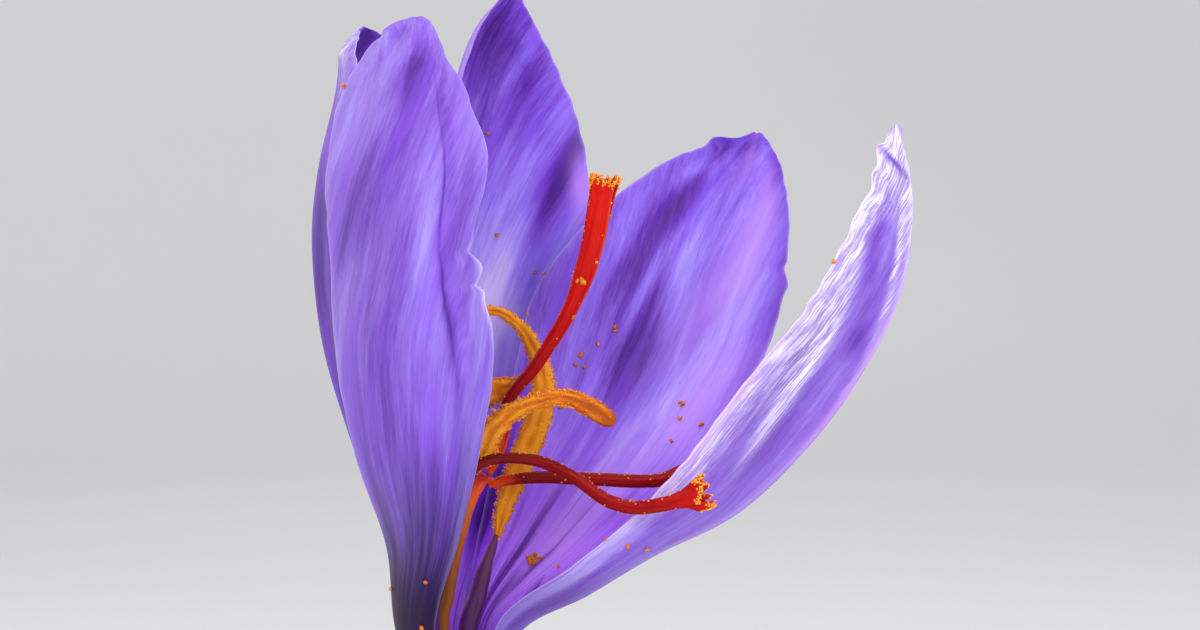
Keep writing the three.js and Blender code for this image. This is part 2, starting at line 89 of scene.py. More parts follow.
TEPAL_SHEET = 0.30  # thickness of a tepal along its midrib
TEPAL_EDGE = 0.09  # and at its margin
TEPAL_BASE_WIDTH = 2.05
TEPAL_ROOT = 0.8  # depth that a tepal's foot reaches down into the tube's rim
MARGIN_WAVE = 0.07

SHOOT_BOW = 1.0
SHOOT_BOW_BEARING = 150

# ---------------------------------------------------------------- the camera

PHOTO_WIDTH, PHOTO_HEIGHT = 1200, 630  # pixels
LENS, SENSOR = 100.0, 36.0
FOCAL_PIXELS = LENS / SENSOR * PHOTO_WIDTH
MM_PER_PIXEL = 0.070  # at the shoot's own distance
FRAME_BOTTOM = 87.0  # height that the picture's lower edge cuts the flower at
SHOOT_PIXEL = 455  # column of the picture that the shoot's foot stands in
ELEVATION = math.radians(5)


def camera_place():
    """Where the camera stands and looks, in millimetres, from the flower's scale in the picture."""
    distance = FOCAL_PIXELS * MM_PER_PIXEL
    side = (PHOTO_WIDTH / 2 - SHOOT_PIXEL) * MM_PER_PIXEL
    slope = -PHOTO_HEIGHT / 2 / FOCAL_PIXELS
    reach = distance * math.cos(ELEVATION) / (math.cos(ELEVATION) + math.sin(ELEVATION) * slope)
    lift = distance * math.sin(ELEVATION)
    aim_height = FRAME_BOTTOM - lift - reach * (-math.sin(ELEVATION) + math.cos(ELEVATION) * slope)
    eye = np.array([side, -distance * math.cos(ELEVATION), aim_height + lift])
    return eye, np.array([0.0, math.cos(ELEVATION), -math.sin(ELEVATION)])


def stand(name, data, place, direction):
    """Sets a camera or lamp up at a place in metres, looking in a direction."""
    made = bpy.data.objects.new(name, data)
    made.location = place
    made.rotation_mode = "QUATERNION"
    made.rotation_quaternion = Vector(direction).to_track_quat("-Z", "Y")
    bpy.context.scene.collection.objects.link(made)
    return made


def make_camera():
    eye, forward = camera_place()
    data = bpy.data.cameras.new("camera")
    data.lens, data.sensor_width = LENS, SENSOR
    data.clip_start, data.clip_end = 0.01, 10
    bpy.context.scene.camera = stand("camera", data, Vector(eye * MM), forward)


# ---------------------------------------------------------------- number helpers


def clamp01(t):
    return np.clip(t, 0.0, 1.0)


def smooth(t):
    t = clamp01(t)
    return t * t * (3 - 2 * t)


def mix(a, b, t):
    return a + (b - a) * t


def hump(x, middle, width):
    """1 at the middle, falling away smoothly over the width."""
    return np.exp(-(((x - middle) / width) ** 2))


def around(bearing, radius, z):
    """Points at a bearing in degrees, a radius and a height."""
    angle = np.radians(bearing)
    points = np.broadcast_arrays(radius * np.cos(angle), radius * np.sin(angle), z)
    return np.stack(points, axis=-1).astype(float)


def rise(count):
    """Steps from 0 to 1 up a piece, in one column."""
    return np.linspace(0, 1, count)[:, None]


def bearings(count):
    """Bearings evenly spaced once round a piece, in one row."""
    return np.linspace(0, 360, count, endpoint=False)[None]


def turns(count):
    """The same in radians."""
    return np.linspace(0, 2 * np.pi, count, endpoint=False)[None]


def unit(vectors):
    return vectors / np.maximum(np.linalg.norm(vectors, axis=-1, keepdims=True), 1e-9)


def through(points, t):
    """A smooth curve through given points, with even spacing in its parameter."""
    points = np.asarray(points, float)
    spans = len(points) - 1
    place = np.clip(t, 0, 1) * spans
    i = np.minimum(place.astype(int), spans - 1)
    f = (place - i)[..., None]
    longer = np.vstack([2 * points[0] - points[1], points, 2 * points[-1] - points[-2]])
    a, b, c, d = longer[i], longer[i + 1], longer[i + 2], longer[i + 3]
    return 0.5 * (2 * b + (c - a) * f + (2 * a - 5 * b + 4 * c - d) * f**2 + (3 * b - a - 3 * c + d) * f**3)


def follow(values, t):
    """A value that follows a list of numbers evenly spaced from 0 to 1."""
    values = np.asarray(values, float)
    place = np.clip(t, 0, 1) * (len(values) - 1)
    i = np.minimum(place.astype(int), len(values) - 2)
    return mix(values[i], values[i + 1], smooth(place - i))


def ripples(seed, *coordinates, waves=9):
    """Smooth seeded noise of about -1 to 1 over some coordinates, with features about one unit wide."""
    rng = np.random.default_rng(seed)
    total = 0.0
    for _ in range(waves):
        direction = rng.normal(size=len(coordinates))
        direction *= rng.uniform(0.6, 1.6) * math.pi / np.linalg.norm(direction)
        phase = rng.uniform(0, 2 * math.pi)
        total = total + np.sin(sum(k * c for k, c in zip(direction, coordinates)) + phase)
    return total / math.sqrt(waves)


def shoot_axis(z):
    """The shoot's gentle bow between the corm and the throat."""
    t = clamp01((np.asarray(z, float) - NECK_FLOOR) / (THROAT - NECK_FLOOR))
    return around(SHOOT_BOW_BEARING, SHOOT_BOW * np.sin(np.pi * t) ** 2, 0 * t)


# ---------------------------------------------------------------- mesh helpers


def new_object(name, points, faces, materials):
    """A smooth-shaded mesh in the scene, its points in metres."""
    mesh = bpy.data.meshes.new(name)
    mesh.from_pydata(points, [], faces)
    for material in materials:
        mesh.materials.append(material)
    mesh.shade_smooth()
    made = bpy.data.objects.new(name, mesh)
    bpy.context.scene.collection.objects.link(made)
    return made


class Body:
    """Grows one mesh out of several grids and grains, with values that its finish reads at each point."""

    def __init__(self):
        self.points, self.faces, self.slots, self.values = [], [], [], []
        self.count = 0

    def add_faces(self, faces, slot=0):
        """Adds faces that number their corners from the body's first point."""
        self.faces.extend(np.asarray(faces).tolist())
        self.slots.extend([slot] * len(faces))

    def add(self, points, faces, slot=0, **values):
        """Adds points, and faces that number their corners from the first of these points."""
        points = np.asarray(points, float)
        shape = points.shape[:-1]
        self.points.append(points.reshape(-1, 3))
        self.values.append({k: np.broadcast_to(v, shape).ravel() for k, v in values.items()})
        self.add_faces(np.asarray(faces) + self.count, slot)
        self.count += math.prod(shape)

    def finish(self, name, node, slot, *finishes):
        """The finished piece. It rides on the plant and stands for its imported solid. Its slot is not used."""
        points = (np.vstack(self.points) * MM).tolist()
        piece = new_object(name, points, self.faces, [FINISHES[k] for k in finishes])
        mesh = piece.data
        mesh.polygons.foreach_set("material_index", self.slots)
        for key in sorted({k for part in self.values for k in part}):
            column = np.concatenate([
                part.get(key, np.zeros(len(points))) for part, points in zip(self.values, self.points)
            ])
            mesh.attributes.new(key, "FLOAT", "POINT").data.foreach_set("value", column.astype(np.float32))
        mesh.update()
        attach(piece, "root")
        if node:
            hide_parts(node)
        return piece


def grid_faces(rows, columns, wrap=False, flip=False):
    """Quads over a grid of points. wrap joins the last column to the first."""
    i, j = np.meshgrid(np.arange(rows - 1), np.arange(columns if wrap else columns - 1), indexing="ij")
    k = (j + 1) % columns
    low, high = i * columns, (i + 1) * columns
    quads = np.stack([low + j, low + k, high + k, high + j], axis=-1).reshape(-1, 4)
    return quads[:, ::-1] if flip else quads


def add_tube(body, rings, slot=0, **values):
    """A skin over closed rings that run anticlockwise seen from the last one, capped at both ends."""
    rows, columns = rings.shape[:2]
    values = {k: np.broadcast_to(v, (rows, columns)) for k, v in values.items()}
    body.add(rings, grid_faces(rows, columns, wrap=True), slot, **values)
    spokes = np.array([[columns, j, (j + 1) % columns] for j in range(columns)])
    for row, cap in ((0, spokes[:, ::-1]), (rows - 1, spokes)):
        ends = {k: np.append(v[row], v[row].mean()) for k, v in values.items()}
        body.add(np.vstack([rings[row], rings[row].mean(axis=0)]), cap, slot, **ends)


def sweep(centre, across, front, x, y):
    """Rings round a line of centres, each reaching x to its side and y to its front."""
    return centre + across * x[..., None] + front * y[..., None]


class Strand:
    """A smooth curve with its directions at each step. Its front turns towards the facing direction."""

    def __init__(self, points, t, facing):
        self.centre = through(points, t)
        ahead, behind = through(points, np.minimum(t + 0.01, 1)), through(points, np.maximum(t - 0.01, 0))
        self.tangent = unit(ahead - behind)
        self.across = unit(np.cross(np.broadcast_to(facing, self.tangent.shape), self.tangent))
        self.front = np.cross(self.tangent, self.across)

    def rings(self, x, y):
        return sweep(self.centre, self.across, self.front, x, y)


GOLDEN = (1 + math.sqrt(5)) / 2
GRAIN_POINTS = unit(np.array([
    [-1, GOLDEN, 0], [1, GOLDEN, 0], [-1, -GOLDEN, 0], [1, -GOLDEN, 0],
    [0, -1, GOLDEN], [0, 1, GOLDEN], [0, -1, -GOLDEN], [0, 1, -GOLDEN],
    [GOLDEN, 0, -1], [GOLDEN, 0, 1], [-GOLDEN, 0, -1], [-GOLDEN, 0, 1],
]))
GRAIN_FACES = np.array([
    [0, 11, 5], [0, 5, 1], [0, 1, 7], [0, 7, 10], [0, 10, 11],
    [1, 5, 9], [5, 11, 4], [11, 10, 2], [10, 7, 6], [7, 1, 8],
    [3, 9, 4], [3, 4, 2], [3, 2, 6], [3, 6, 8], [3, 8, 9],
    [4, 9, 5], [2, 4, 11], [6, 2, 10], [8, 6, 7], [9, 8, 1],
])


def add_grains(body, centres, radii, shades, slot=1):
    """Round pollen grains, each lighter or darker by its shade."""
    points = centres[:, None, :] + GRAIN_POINTS[None] * radii[:, None, None]
    faces = GRAIN_FACES[None] + len(GRAIN_POINTS) * np.arange(len(centres))[:, None, None]
    body.add(points, faces.reshape(-1, 3), slot, shade=shades[:, None])


# ---------------------------------------------------------------- shader helpers


def colour(red, green, blue):
    """A colour as it is seen on a screen, 0 to 255, turned into the light values that a shader takes."""
    seen = np.array([red, green, blue]) / 255
    light = np.where(seen <= 0.04045, seen / 12.92, ((seen + 0.055) / 1.055) ** 2.4)
    return (*light.tolist(), 1.0)


class Wire:
    """A value that changes over the surface. Plus, minus and times each add a node."""

    def __init__(self, nodes, socket):
        self.nodes, self.socket = nodes, socket

    def __add__(self, other):
        return self.nodes.math("ADD", self, other)

    def __sub__(self, other):
        return self.nodes.math("SUBTRACT", self, other)

    def __rsub__(self, other):
        return self.nodes.math("SUBTRACT", other, self)

    def __mul__(self, other):
        return self.nodes.math("MULTIPLY", self, other)


class Nodes:
    """Adds nodes to one tree and wires them, so that a material reads as a list of its effects."""

    def __init__(self, tree):
        self.tree = tree

    def plug(self, value, socket):
        """Leads a wire into a socket, or sets the socket's own value."""
        if isinstance(value, Wire):
            self.tree.links.new(value.socket, socket)
        else:
            socket.default_value = value

    def add(self, kind, inputs=(), **settings):
        node = self.tree.nodes.new(kind)
        node.location = (190 * (len(self.tree.nodes) % 12), -260 * (len(self.tree.nodes) // 12))
        for key, value in settings.items():
            setattr(node, key, value)
        for key, value in dict(inputs).items():
            self.plug(value, node.inputs[key])
        return node

    def wire(self, kind, output, inputs=(), **settings):
        """One output of a new node."""
        return Wire(self, self.add(kind, inputs, **settings).outputs[output])

    def math(self, operation, a, b=0.0, clamp=False):
        return self.wire("ShaderNodeMath", 0, {0: a, 1: b}, operation=operation, use_clamp=clamp)

    def remap(self, value, low, high, to_low=0.0, to_high=1.0):
        """Carries the range low to high over to another one, with soft ends."""
        inputs = {"Value": value, "From Min": low, "From Max": high, "To Min": to_low, "To Max": to_high}
        return self.wire("ShaderNodeMapRange", "Result", inputs, interpolation_type="SMOOTHSTEP")

    def ramp(self, value, stops):
        """A colour that follows a value through stops: places, each with its colour as seen on a screen."""
        node = self.add("ShaderNodeValToRGB", {"Fac": value})
        elements = node.color_ramp.elements
        while len(elements) < len(stops):
            elements.new(0.5)
        for element, (place, tint) in zip(elements, stops.items()):
            element.position = place
            element.color = colour(*tint)
        return Wire(self, node.outputs["Color"])

    def coats(self, base, *coats):
        """Lays coats over a base, each by its share and in its colour: a wire, or one as seen on a screen."""
        for share, tint in coats:
            tint = tint if isinstance(tint, Wire) else colour(*tint)
            base = self.wire("ShaderNodeMix", 2, {0: share, 6: base, 7: tint}, data_type="RGBA")
        return base

    def vector(self, x, y, z=0.0):
        return self.wire("ShaderNodeCombineXYZ", "Vector", {"X": x, "Y": y, "Z": z})

    def noise(self, vector, scale=1.0, detail=2.0, roughness=0.5, distortion=0.0):
        inputs = {"Vector": vector, "Scale": scale, "Detail": detail, "Roughness": roughness}
        return self.wire("ShaderNodeTexNoise", "Fac", {**inputs, "Distortion": distortion})

    def place(self):
        return self.wire("ShaderNodeTexCoord", "Object")

    def at_point(self, name):
        """A value that the mesh holds at each point."""
        return self.wire("ShaderNodeAttribute", "Fac", attribute_name=name)

    def effect(self, group, **inputs):
        """Places a shared effect with this material's own values, and gives its outputs by name."""
        inputs = {key.title(): value for key, value in inputs.items()}
        node = self.add("ShaderNodeGroup", node_tree=group)
        for key, value in inputs.items():
            self.plug(value, node.inputs[key])
        return {output.name: Wire(self, output) for output in node.outputs}


class Finish(Nodes):
    """A material's nodes round its Principled shader."""

    def __init__(self, name):
        self.material = bpy.data.materials.new(name)
        self.material.use_nodes = True
        super().__init__(self.material.node_tree)
        self.tree.nodes.clear()
        self.shader = self.add("ShaderNodeBsdfPrincipled")
        output = self.add("ShaderNodeOutputMaterial")
        self.tree.links.new(self.shader.outputs["BSDF"], output.inputs["Surface"])

    def run_by(self, *names):
        """Reads the values that streaks and cells follow: along, across and, on a tepal, its seed."""
        wires = [self.at_point(name) for name in names]
        self.skin = dict(zip(("along", "across", "seed"), wires))
        return wires

    def streaks(self, length, fineness, contrast, **more):
        inputs = {"length": length, "fineness": fineness, "contrast": contrast, **self.skin, **more}
        return self.effect(STREAKS, **inputs)["Streak"]

    def cells(self, length, fineness):
        return self.effect(CELLS, length=length, fineness=fineness, **self.skin)

    def dress(self, base, roughness, height, depth, gloss, strength=0.5, subsurface=None, **fixed):
        """The material: colour, roughness, relief of a depth in millimetres, and what is the same all over.

        subsurface is how much light goes into the skin, how far in metres, and how far of each colour.
        """
        relief = {"Height": height, "Distance": depth * MM, "Strength": strength}
        sockets = {"Base Color": base, "Roughness": roughness, "Specular IOR Level": gloss}
        sockets["Normal"] = self.wire("ShaderNodeBump", "Normal", relief)
        if subsurface:
            sockets.update(zip(("Subsurface Weight", "Subsurface Scale", "Subsurface Radius"), subsurface))
        sockets.update({key.replace("_", " ").title(): value for key, value in fixed.items()})
        for key, value in sockets.items():
            self.plug(value, self.shader.inputs[key])
        return self.material


# ---------------------------------------------------------------- effects that several finishes share


def new_effect(name, recipe, **inputs):
    """Builds a shared effect by a recipe that takes its inputs and returns its outputs by name."""
    tree = bpy.data.node_groups.new(name, "ShaderNodeTree")
    for key, default in inputs.items():
        socket = tree.interface.new_socket(key.title(), in_out="INPUT", socket_type="NodeSocketFloat")
        socket.default_value = default
    nodes = Nodes(tree)
    given = nodes.add("NodeGroupInput").outputs
    results = recipe(nodes, **{key: Wire(nodes, given[key.title()]) for key in inputs})
    for key in results:
        tree.interface.new_socket(key, in_out="OUTPUT", socket_type="NodeSocketFloat")
    nodes.add("NodeGroupOutput", results)
    return tree


def streaks(nodes, along, across, length, fineness, contrast, seed):
    """Soft streaks that run along a petal, leaf or stalk and fade in and out on the way."""
    spot = nodes.vector(along * length, across * fineness, seed)
    strong = (nodes.noise(spot, detail=2.5, roughness=0.55, distortion=0.25) - 0.5) * contrast
    return {"Streak": nodes.math("ADD", strong, 0.5, clamp=True)}


def veins(nodes, along, across, count, width, wander, branching):
    """Thin veins that fan out with the petal, wander a little, and double half way up."""

    def line(angle):
        return nodes.remap(nodes.math("ABSOLUTE", nodes.math("SINE", angle)), 0.0, width, 1.0, 0.0)

    wandering = (nodes.noise(nodes.vector(along * 5.0, across * 3.0)) - 0.5) * wander
    angle = (across + wandering) * count * math.pi
    twin = line(angle * 2.0) * (nodes.remap(along, 0.3, 0.7) * branching)
    return {"Vein": nodes.math("MAXIMUM", line(angle), twin)}


def rim(nodes, across, band):
    """The margin of a petal or leaf: a soft band, and the thin edge itself."""
    side = nodes.math("ABSOLUTE", across)
    return {"Band": nodes.remap(side, 1.0 - band, 1.0), "Edge": nodes.remap(side, 0.975, 1.0)}


def mottle(nodes, scale, speckle):
    """Uneven patches of tone in two sizes, cloudy and speckled."""
    strong = (nodes.noise(nodes.place(), scale * 6.0, detail=3.0) - 0.5) * speckle
    return {
        "Cloud": nodes.noise(nodes.place(), scale, detail=4.0),
        "Speckle": nodes.math("ADD", strong, 0.5, clamp=True),
    }


def cells(nodes, along, across, length, fineness, seed):
    """The long narrow skin cells of a plant: their height for bump, and glints on those that catch light."""
    x, y = along * length, across * fineness
    spot = {"Vector": nodes.vector(x, y, seed), "Scale": 1.0, "Randomness": 0.9}
    distance = nodes.wire("ShaderNodeTexVoronoi", "Distance", spot, feature="F1")
    height = nodes.remap(distance, 0.0, 0.75, 1.0, 0.0)
    clusters = nodes.remap(nodes.noise(nodes.vector(x * 0.22, y * 0.3)), 0.42, 0.62)
    return {"Height": height, "Glint": height * clusters}


STREAKS = new_effect("streaks", streaks, along=0, across=0, length=4, fineness=1, contrast=1, seed=0)
VEINS = new_effect("veins", veins, along=0, across=0, count=8, width=0.2, wander=0.2, branching=0.4)
RIM = new_effect("rim", rim, across=0, band=0.15)
MOTTLE = new_effect("mottle", mottle, scale=300, speckle=0.5)
CELLS = new_effect("cells", cells, along=0, across=0, length=60, fineness=9, seed=0)


# ---------------------------------------------------------------- finishes

# What the two faces of a tepal have of their own. The skin goes from its deepest to its brightest violet.
PETAL_FACES = {
    "inner": {
        "skin": [
            (78, 28, 136), (110, 58, 180), (138, 96, 212), (158, 126, 236), (186, 164, 246), (218, 206, 252),
        ],
        # the throat's own magenta violet low down, brightened as painted light for light shining through the
        # petals
        "low": [(82, 8, 138), (164, 72, 250), (202, 134, 255)],
        "low_share": 0.85,
        "shadow_share": 0.9,
        "foot": (150, 56, 214),
        "foot_reach": (0.20, 0.00),
        "vein": (82, 8, 138),
        "vein_share": 0.62,
        "vein_width": 0.40,
        "vein_count": 0.6,
    },
    "outer": {
        "skin": [
            (78, 36, 142), (112, 66, 186), (134, 96, 206), (150, 124, 220), (174, 156, 232), (206, 194, 244),
        ],
        "low": [(74, 34, 116), (120, 86, 196), (160, 136, 224)],
        "low_share": 0.2,
        "shadow_share": 0.15,
        "foot": (34, 16, 54),
        "foot_reach": (0.38, 0.12),
        "vein": (74, 34, 116),
        "vein_share": 0.5,
        "vein_width": 0.22,
        "vein_count": 0.85,
    },
}
SKIN_STOPS = (0.06, 0.25, 0.41, 0.57, 0.75, 0.98)
LOW_STOPS = (0.05, 0.32, 0.68)
# The next colour is the white of painted highlights: a tepal's silvery sheen and its bright edge.
SHEEN_WHITE = (240, 234, 248)
BLUSH = (206, 156, 246)
PURPLE = (132, 74, 222)
RIM_LIGHT = (190, 170, 244)


def petal_finish(side):
    """A tepal's silky skin: streaked violet, fanning veins, a dark foot, and painted shade, rim highlight and
    sheen.
    """
    face = PETAL_FACES[side]
    nodes = Finish("petal_" + side)
    along, run, _ = nodes.run_by("along", "run", "seed")
    across, tone, silver, blush, foot = map(nodes.at_point, ("across", "tone", "silver", "blush", "foot"))
    broad = nodes.streaks(3.2, 0.30, 2.0)
    middling = nodes.streaks(5.5, 0.95, 2.0)
    fine = nodes.streaks(13.0, 3.2, 1.8)
    hair = nodes.streaks(44.0, 11.0, 1.9)
    sparkle = nodes.streaks(24.0, 14.0, 2.6)
    warm = nodes.streaks(4.0, 0.55, 2.4, seed=31.0)
    cells = nodes.cells(170.0, 10.0)
    rim = nodes.effect(RIM, across=across, band=0.10)
    width = nodes.remap(along, 0.12, 0.4, face["vein_width"], 0.13)
    count = face["vein_count"]
    veins = nodes.effect(VEINS, along=along, across=run, count=count, width=width, wander=0.7)["Vein"]
    veins = veins * nodes.remap(middling, 0.35, 0.65, 0.3, 1.0)

    streaked = broad * 0.28 + middling * 0.32 + fine * 0.20 + hair * 0.20 - 0.5
    # The tone read here holds each tepal's own patches and also painted shade and painted light.
    level = (tone * 0.36 + 0.5 + streaked * nodes.remap(along, 0.08, 0.45, 0.5, 1.0)) * 0.8
    low = nodes.ramp(level, dict(zip(LOW_STOPS, face["low"])))
    low_shadow = nodes.remap(broad, 0.50, 0.22) * nodes.remap(along, 0.20, 0.40, face["shadow_share"], 0.0)
    climb = along + (middling - 0.5) * 0.10
    # Painted sheen: silvery glints painted into the colour in streaks where the sheen areas lie, and at the
    # very edge.
    bands = nodes.remap(fine, 0.2, 0.8, 0.45, 1.0) * nodes.remap(middling, 0.2, 0.8, 0.6, 1.0)
    glint = bands * nodes.remap(sparkle, 0.25, 0.75, 0.15, 1.15) + cells["Glint"] * 0.25
    glint = nodes.math("MAXIMUM", glint, rim["Edge"] * 0.9)
    sheen = nodes.math("MULTIPLY", silver, glint + 0.15, clamp=True)
    skin = nodes.coats(
        nodes.ramp(level, dict(zip(SKIN_STOPS, face["skin"]))),
        (nodes.remap(warm, 0.5, 0.95) * 0.5, PURPLE),
        (blush * 0.8, BLUSH),
        (nodes.remap(along, 0.20, 0.46, face["low_share"], 0.0), low),
        (low_shadow, face["vein"]),
        (veins * nodes.remap(along, 0.14, 0.5, face["vein_share"], 0.06), face["vein"]),
        (nodes.remap(climb, *face["foot_reach"]) * foot, face["foot"]),
        # Painted highlights along the rim: a pale band and a bright edge.
        (rim["Band"] * 0.12, RIM_LIGHT),
        (rim["Edge"] * 0.14, SHEEN_WHITE),
        (sheen, SHEEN_WHITE),
    )
    height = fine * 0.35 + hair * 0.25 + cells["Height"] * 0.14 - veins * 0.20
    height = height * nodes.remap(along, 0.08, 0.45, 0.3, 1.0)
    roughness = nodes.remap(sheen, 0.0, 1.0, 0.56, 0.36)
    return nodes.dress(
        skin, roughness, height, depth=0.08, gloss=0.25, sheen_weight=0.05, sheen_roughness=0.4,
        subsurface=(0.35, 0.0003, (0.8, 0.5, 1.0)),
    )


def tube_finish():
    """The flower's stalk-like tube: white at the foot, flushed violet above, with six darker veins."""
    nodes = Finish("flower_tube")
    along, across = nodes.run_by("along", "across")
    fine = nodes.streaks(14.0, 22.0, 1.6)
    veins = nodes.effect(VEINS, along=along, across=across, count=6.0, width=0.35, wander=0.05)["Vein"]
    cloud = nodes.effect(MOTTLE, scale=220.0)["Cloud"]
    flesh = nodes.coats(
        nodes.ramp(along + (cloud - 0.5) * 0.18, {
            0.0: (246, 244, 238), 0.45: (226, 216, 240), 0.72: (150, 118, 196),
            0.88: (98, 62, 150), 1.0: (48, 24, 78),
        }),
        (veins * nodes.remap(along, 0.1, 0.7, 0.05, 0.6), (84, 44, 140)),
        (nodes.remap(fine, 0.5, 0.9, 0.0, 0.25), (250, 248, 255)),
    )
    return nodes.dress(flesh, 0.46, fine, depth=0.06, gloss=0.4, subsurface=(0.4, 0.001, (0.9, 0.7, 1.0)))


def filament_finish():
    """A stamen's stalk: wet-looking mauve, with a highlight painted along one side."""
    nodes = Finish("filament")
    along, across = nodes.run_by("along", "across")
    fine = nodes.streaks(7.0, 5.0, 1.8)
    flesh = nodes.coats(
        nodes.ramp(along + fine * 0.15, {0.1: (92, 34, 108), 0.55: (80, 28, 90), 0.95: (108, 50, 88)}),
        # painted highlight along one side
        (nodes.remap(across + fine * 0.3, 0.5, 1.15, 0.0, 0.3), (128, 72, 150)),
    )
    return nodes.dress(flesh, 0.46, fine, depth=0.04, gloss=0.2, subsurface=(0.5, 0.0006, (1.0, 0.5, 0.8)))


def anther_finish():
    """The split pollen sac: orange-yellow, powdery, with painted shade in its folds and light on its lumps."""
    nodes = Finish("anther")
    nodes.run_by("along", "across")
    mottle = nodes.effect(MOTTLE, scale=900.0, speckle=1.6)
    fine = nodes.streaks(30.0, 5.0, 1.8)
    # The shading read here is painted: the anther's painted tone, shade in the furrow and light on the lumps.
    level = nodes.at_point("crest") * 0.7 + mottle["Cloud"] * 0.3 + (fine - 0.5) * 0.08
    flesh = nodes.coats(
        nodes.ramp(level, {
            0.05: (160, 70, 8), 0.35: (192, 98, 10), 0.6: (226, 130, 16), 0.95: (252, 172, 30),
        }),
        (nodes.remap(mottle["Speckle"], 0.72, 0.95, 0.0, 0.4), (255, 200, 96)),
    )
    height = mottle["Speckle"] + mottle["Cloud"]
    return nodes.dress(flesh, 0.6, height, depth=0.10, gloss=0.2, subsurface=(0.2, 0.0005, (1.0, 0.5, 0.2)))


def pollen_finish():
    """Loose grains of pollen, each a little lighter or darker than the next."""
    nodes = Finish("pollen")
    shade = nodes.at_point("shade")
    flesh = nodes.ramp(shade, {0.0: (206, 98, 10), 0.5: (228, 136, 18), 1.0: (250, 190, 70)})
    cloud = nodes.effect(MOTTLE, scale=4000.0, speckle=1.0)["Cloud"]
    return nodes.dress(flesh, 0.6, cloud, depth=0.03, gloss=0.35)


def style_finish():
    """The style, from olive amber low in the throat to red orange where it divides."""
    nodes = Finish("style")
    along, _ = nodes.run_by("along", "across")
    fine = nodes.streaks(8.0, 6.0, 1.6)
    flesh = nodes.ramp(along + (fine - 0.5) * 0.12, {
        0.35: (148, 86, 26), 0.62: (202, 104, 12), 0.8: (236, 100, 16), 1.0: (216, 50, 12),
    })
    return nodes.dress(flesh, 0.42, fine, depth=0.05, gloss=0.25, subsurface=(0.4, 0.0006, (1.0, 0.4, 0.15)))


def stigma_finish():
    """A stigma's waxy skin: deep red low down, bright red orange at its flared end, finely ribbed."""
    nodes = Finish("stigma")
    along, _ = nodes.run_by("along", "across")
    fine = nodes.streaks(7.0, 9.0, 1.8)
    flesh = nodes.coats(
        nodes.ramp(along + (fine - 0.5) * 0.28, {
            0.04: (214, 66, 18), 0.14: (158, 22, 10), 0.28: (112, 6, 8),
            0.5: (138, 6, 6), 0.75: (178, 10, 4), 1.0: (206, 20, 4),
        }),
        (nodes.at_point("lip") * 0.35, (240, 120, 80)),
    )
    height = fine * 0.6 + nodes.cells(110.0, 22.0)["Height"] * 0.3
    skin = (0.2, 0.0004, (1.0, 0.2, 0.1))
    return nodes.dress(flesh, 0.42, height, depth=0.08, strength=0.6, gloss=0.12, subsurface=skin)


def sheath_finish():
    """A papery sheath: cream white, fine parallel ribs, browned and dry along its torn mouth."""
    nodes = Finish("sheath")
    along, _ = nodes.run_by("along", "across")
    fine = nodes.streaks(5.0, 60.0, 1.8)
    mottle = nodes.effect(MOTTLE, scale=260.0, speckle=1.2)
    dry = along + (mottle["Cloud"] - 0.5) * 0.25
    paper = nodes.coats(
        nodes.ramp(fine, {0.1: (206, 192, 154), 0.5: (232, 222, 196), 0.9: (246, 241, 226)}),
        (nodes.remap(dry, 0.82, 1.02, 0.0, 0.8), (160, 118, 72)),
        (nodes.remap(dry, 0.22, 0.0, 0.0, 0.55), (168, 128, 84)),
        (nodes.remap(mottle["Speckle"], 0.66, 0.9, 0.0, 0.35), (176, 140, 92)),
    )
    return nodes.dress(
        paper, 0.5, fine, depth=0.1, strength=0.6, gloss=0.4, subsurface=(0.3, 0.0008, (1.0, 0.8, 0.5)),
    )


def leaf_finish():
    """A narrow leaf: satin green with a white stripe down its upper face and a paler foot and point."""
    nodes = Finish("leaf")
    along, across = nodes.run_by("along", "across")
    fine = nodes.streaks(20.0, 16.0, 1.7)
    cloud = nodes.effect(MOTTLE, scale=200.0)["Cloud"]
    upper_face = nodes.remap(nodes.at_point("upper"), 0.3, 0.7)
    stripe = nodes.remap(nodes.math("ABSOLUTE", across), 0.3, 0.16) * upper_face
    green = nodes.coats(
        nodes.ramp(fine * 0.55 + cloud * 0.45, {0.2: (38, 70, 30), 0.5: (66, 106, 42), 0.8: (104, 142, 62)}),
        (nodes.remap(along, 0.55, 0.1) * 0.85, (214, 222, 180)),
        (stripe * 0.85, (226, 234, 214)),
        (nodes.effect(RIM, across=across, band=0.12)["Band"] * 0.3, (142, 168, 96)),
        (nodes.remap(along, 0.965, 1.0, 0.0, 0.8), (214, 202, 150)),
    )
    return nodes.dress(green, 0.42, fine, depth=0.06, gloss=0.45, subsurface=(0.15, 0.0006, (0.5, 1.0, 0.3)))


def corm_finish():
    """The corm's dry coat between its fibres: tan brown, finely lined, darker low down."""
    nodes = Finish("corm_coat")
    along, _ = nodes.run_by("along", "across")
    fine = nodes.streaks(5.0, 90.0, 2.0)
    mottle = nodes.effect(MOTTLE, scale=130.0, speckle=1.4)
    coat = nodes.coats(
        nodes.ramp(fine * 0.55 + mottle["Cloud"] * 0.5, {
            0.25: (74, 44, 26), 0.5: (122, 78, 46), 0.75: (166, 118, 74),
        }),
        (nodes.remap(mottle["Speckle"], 0.62, 0.95, 0.0, 0.5), (54, 32, 20)),
        (nodes.remap(along, 0.2, 0.0, 0.0, 0.6), (70, 48, 34)),
    )
    return nodes.dress(coat, 0.78, fine + mottle["Speckle"] * 0.5, depth=0.18, strength=0.8, gloss=0.3)


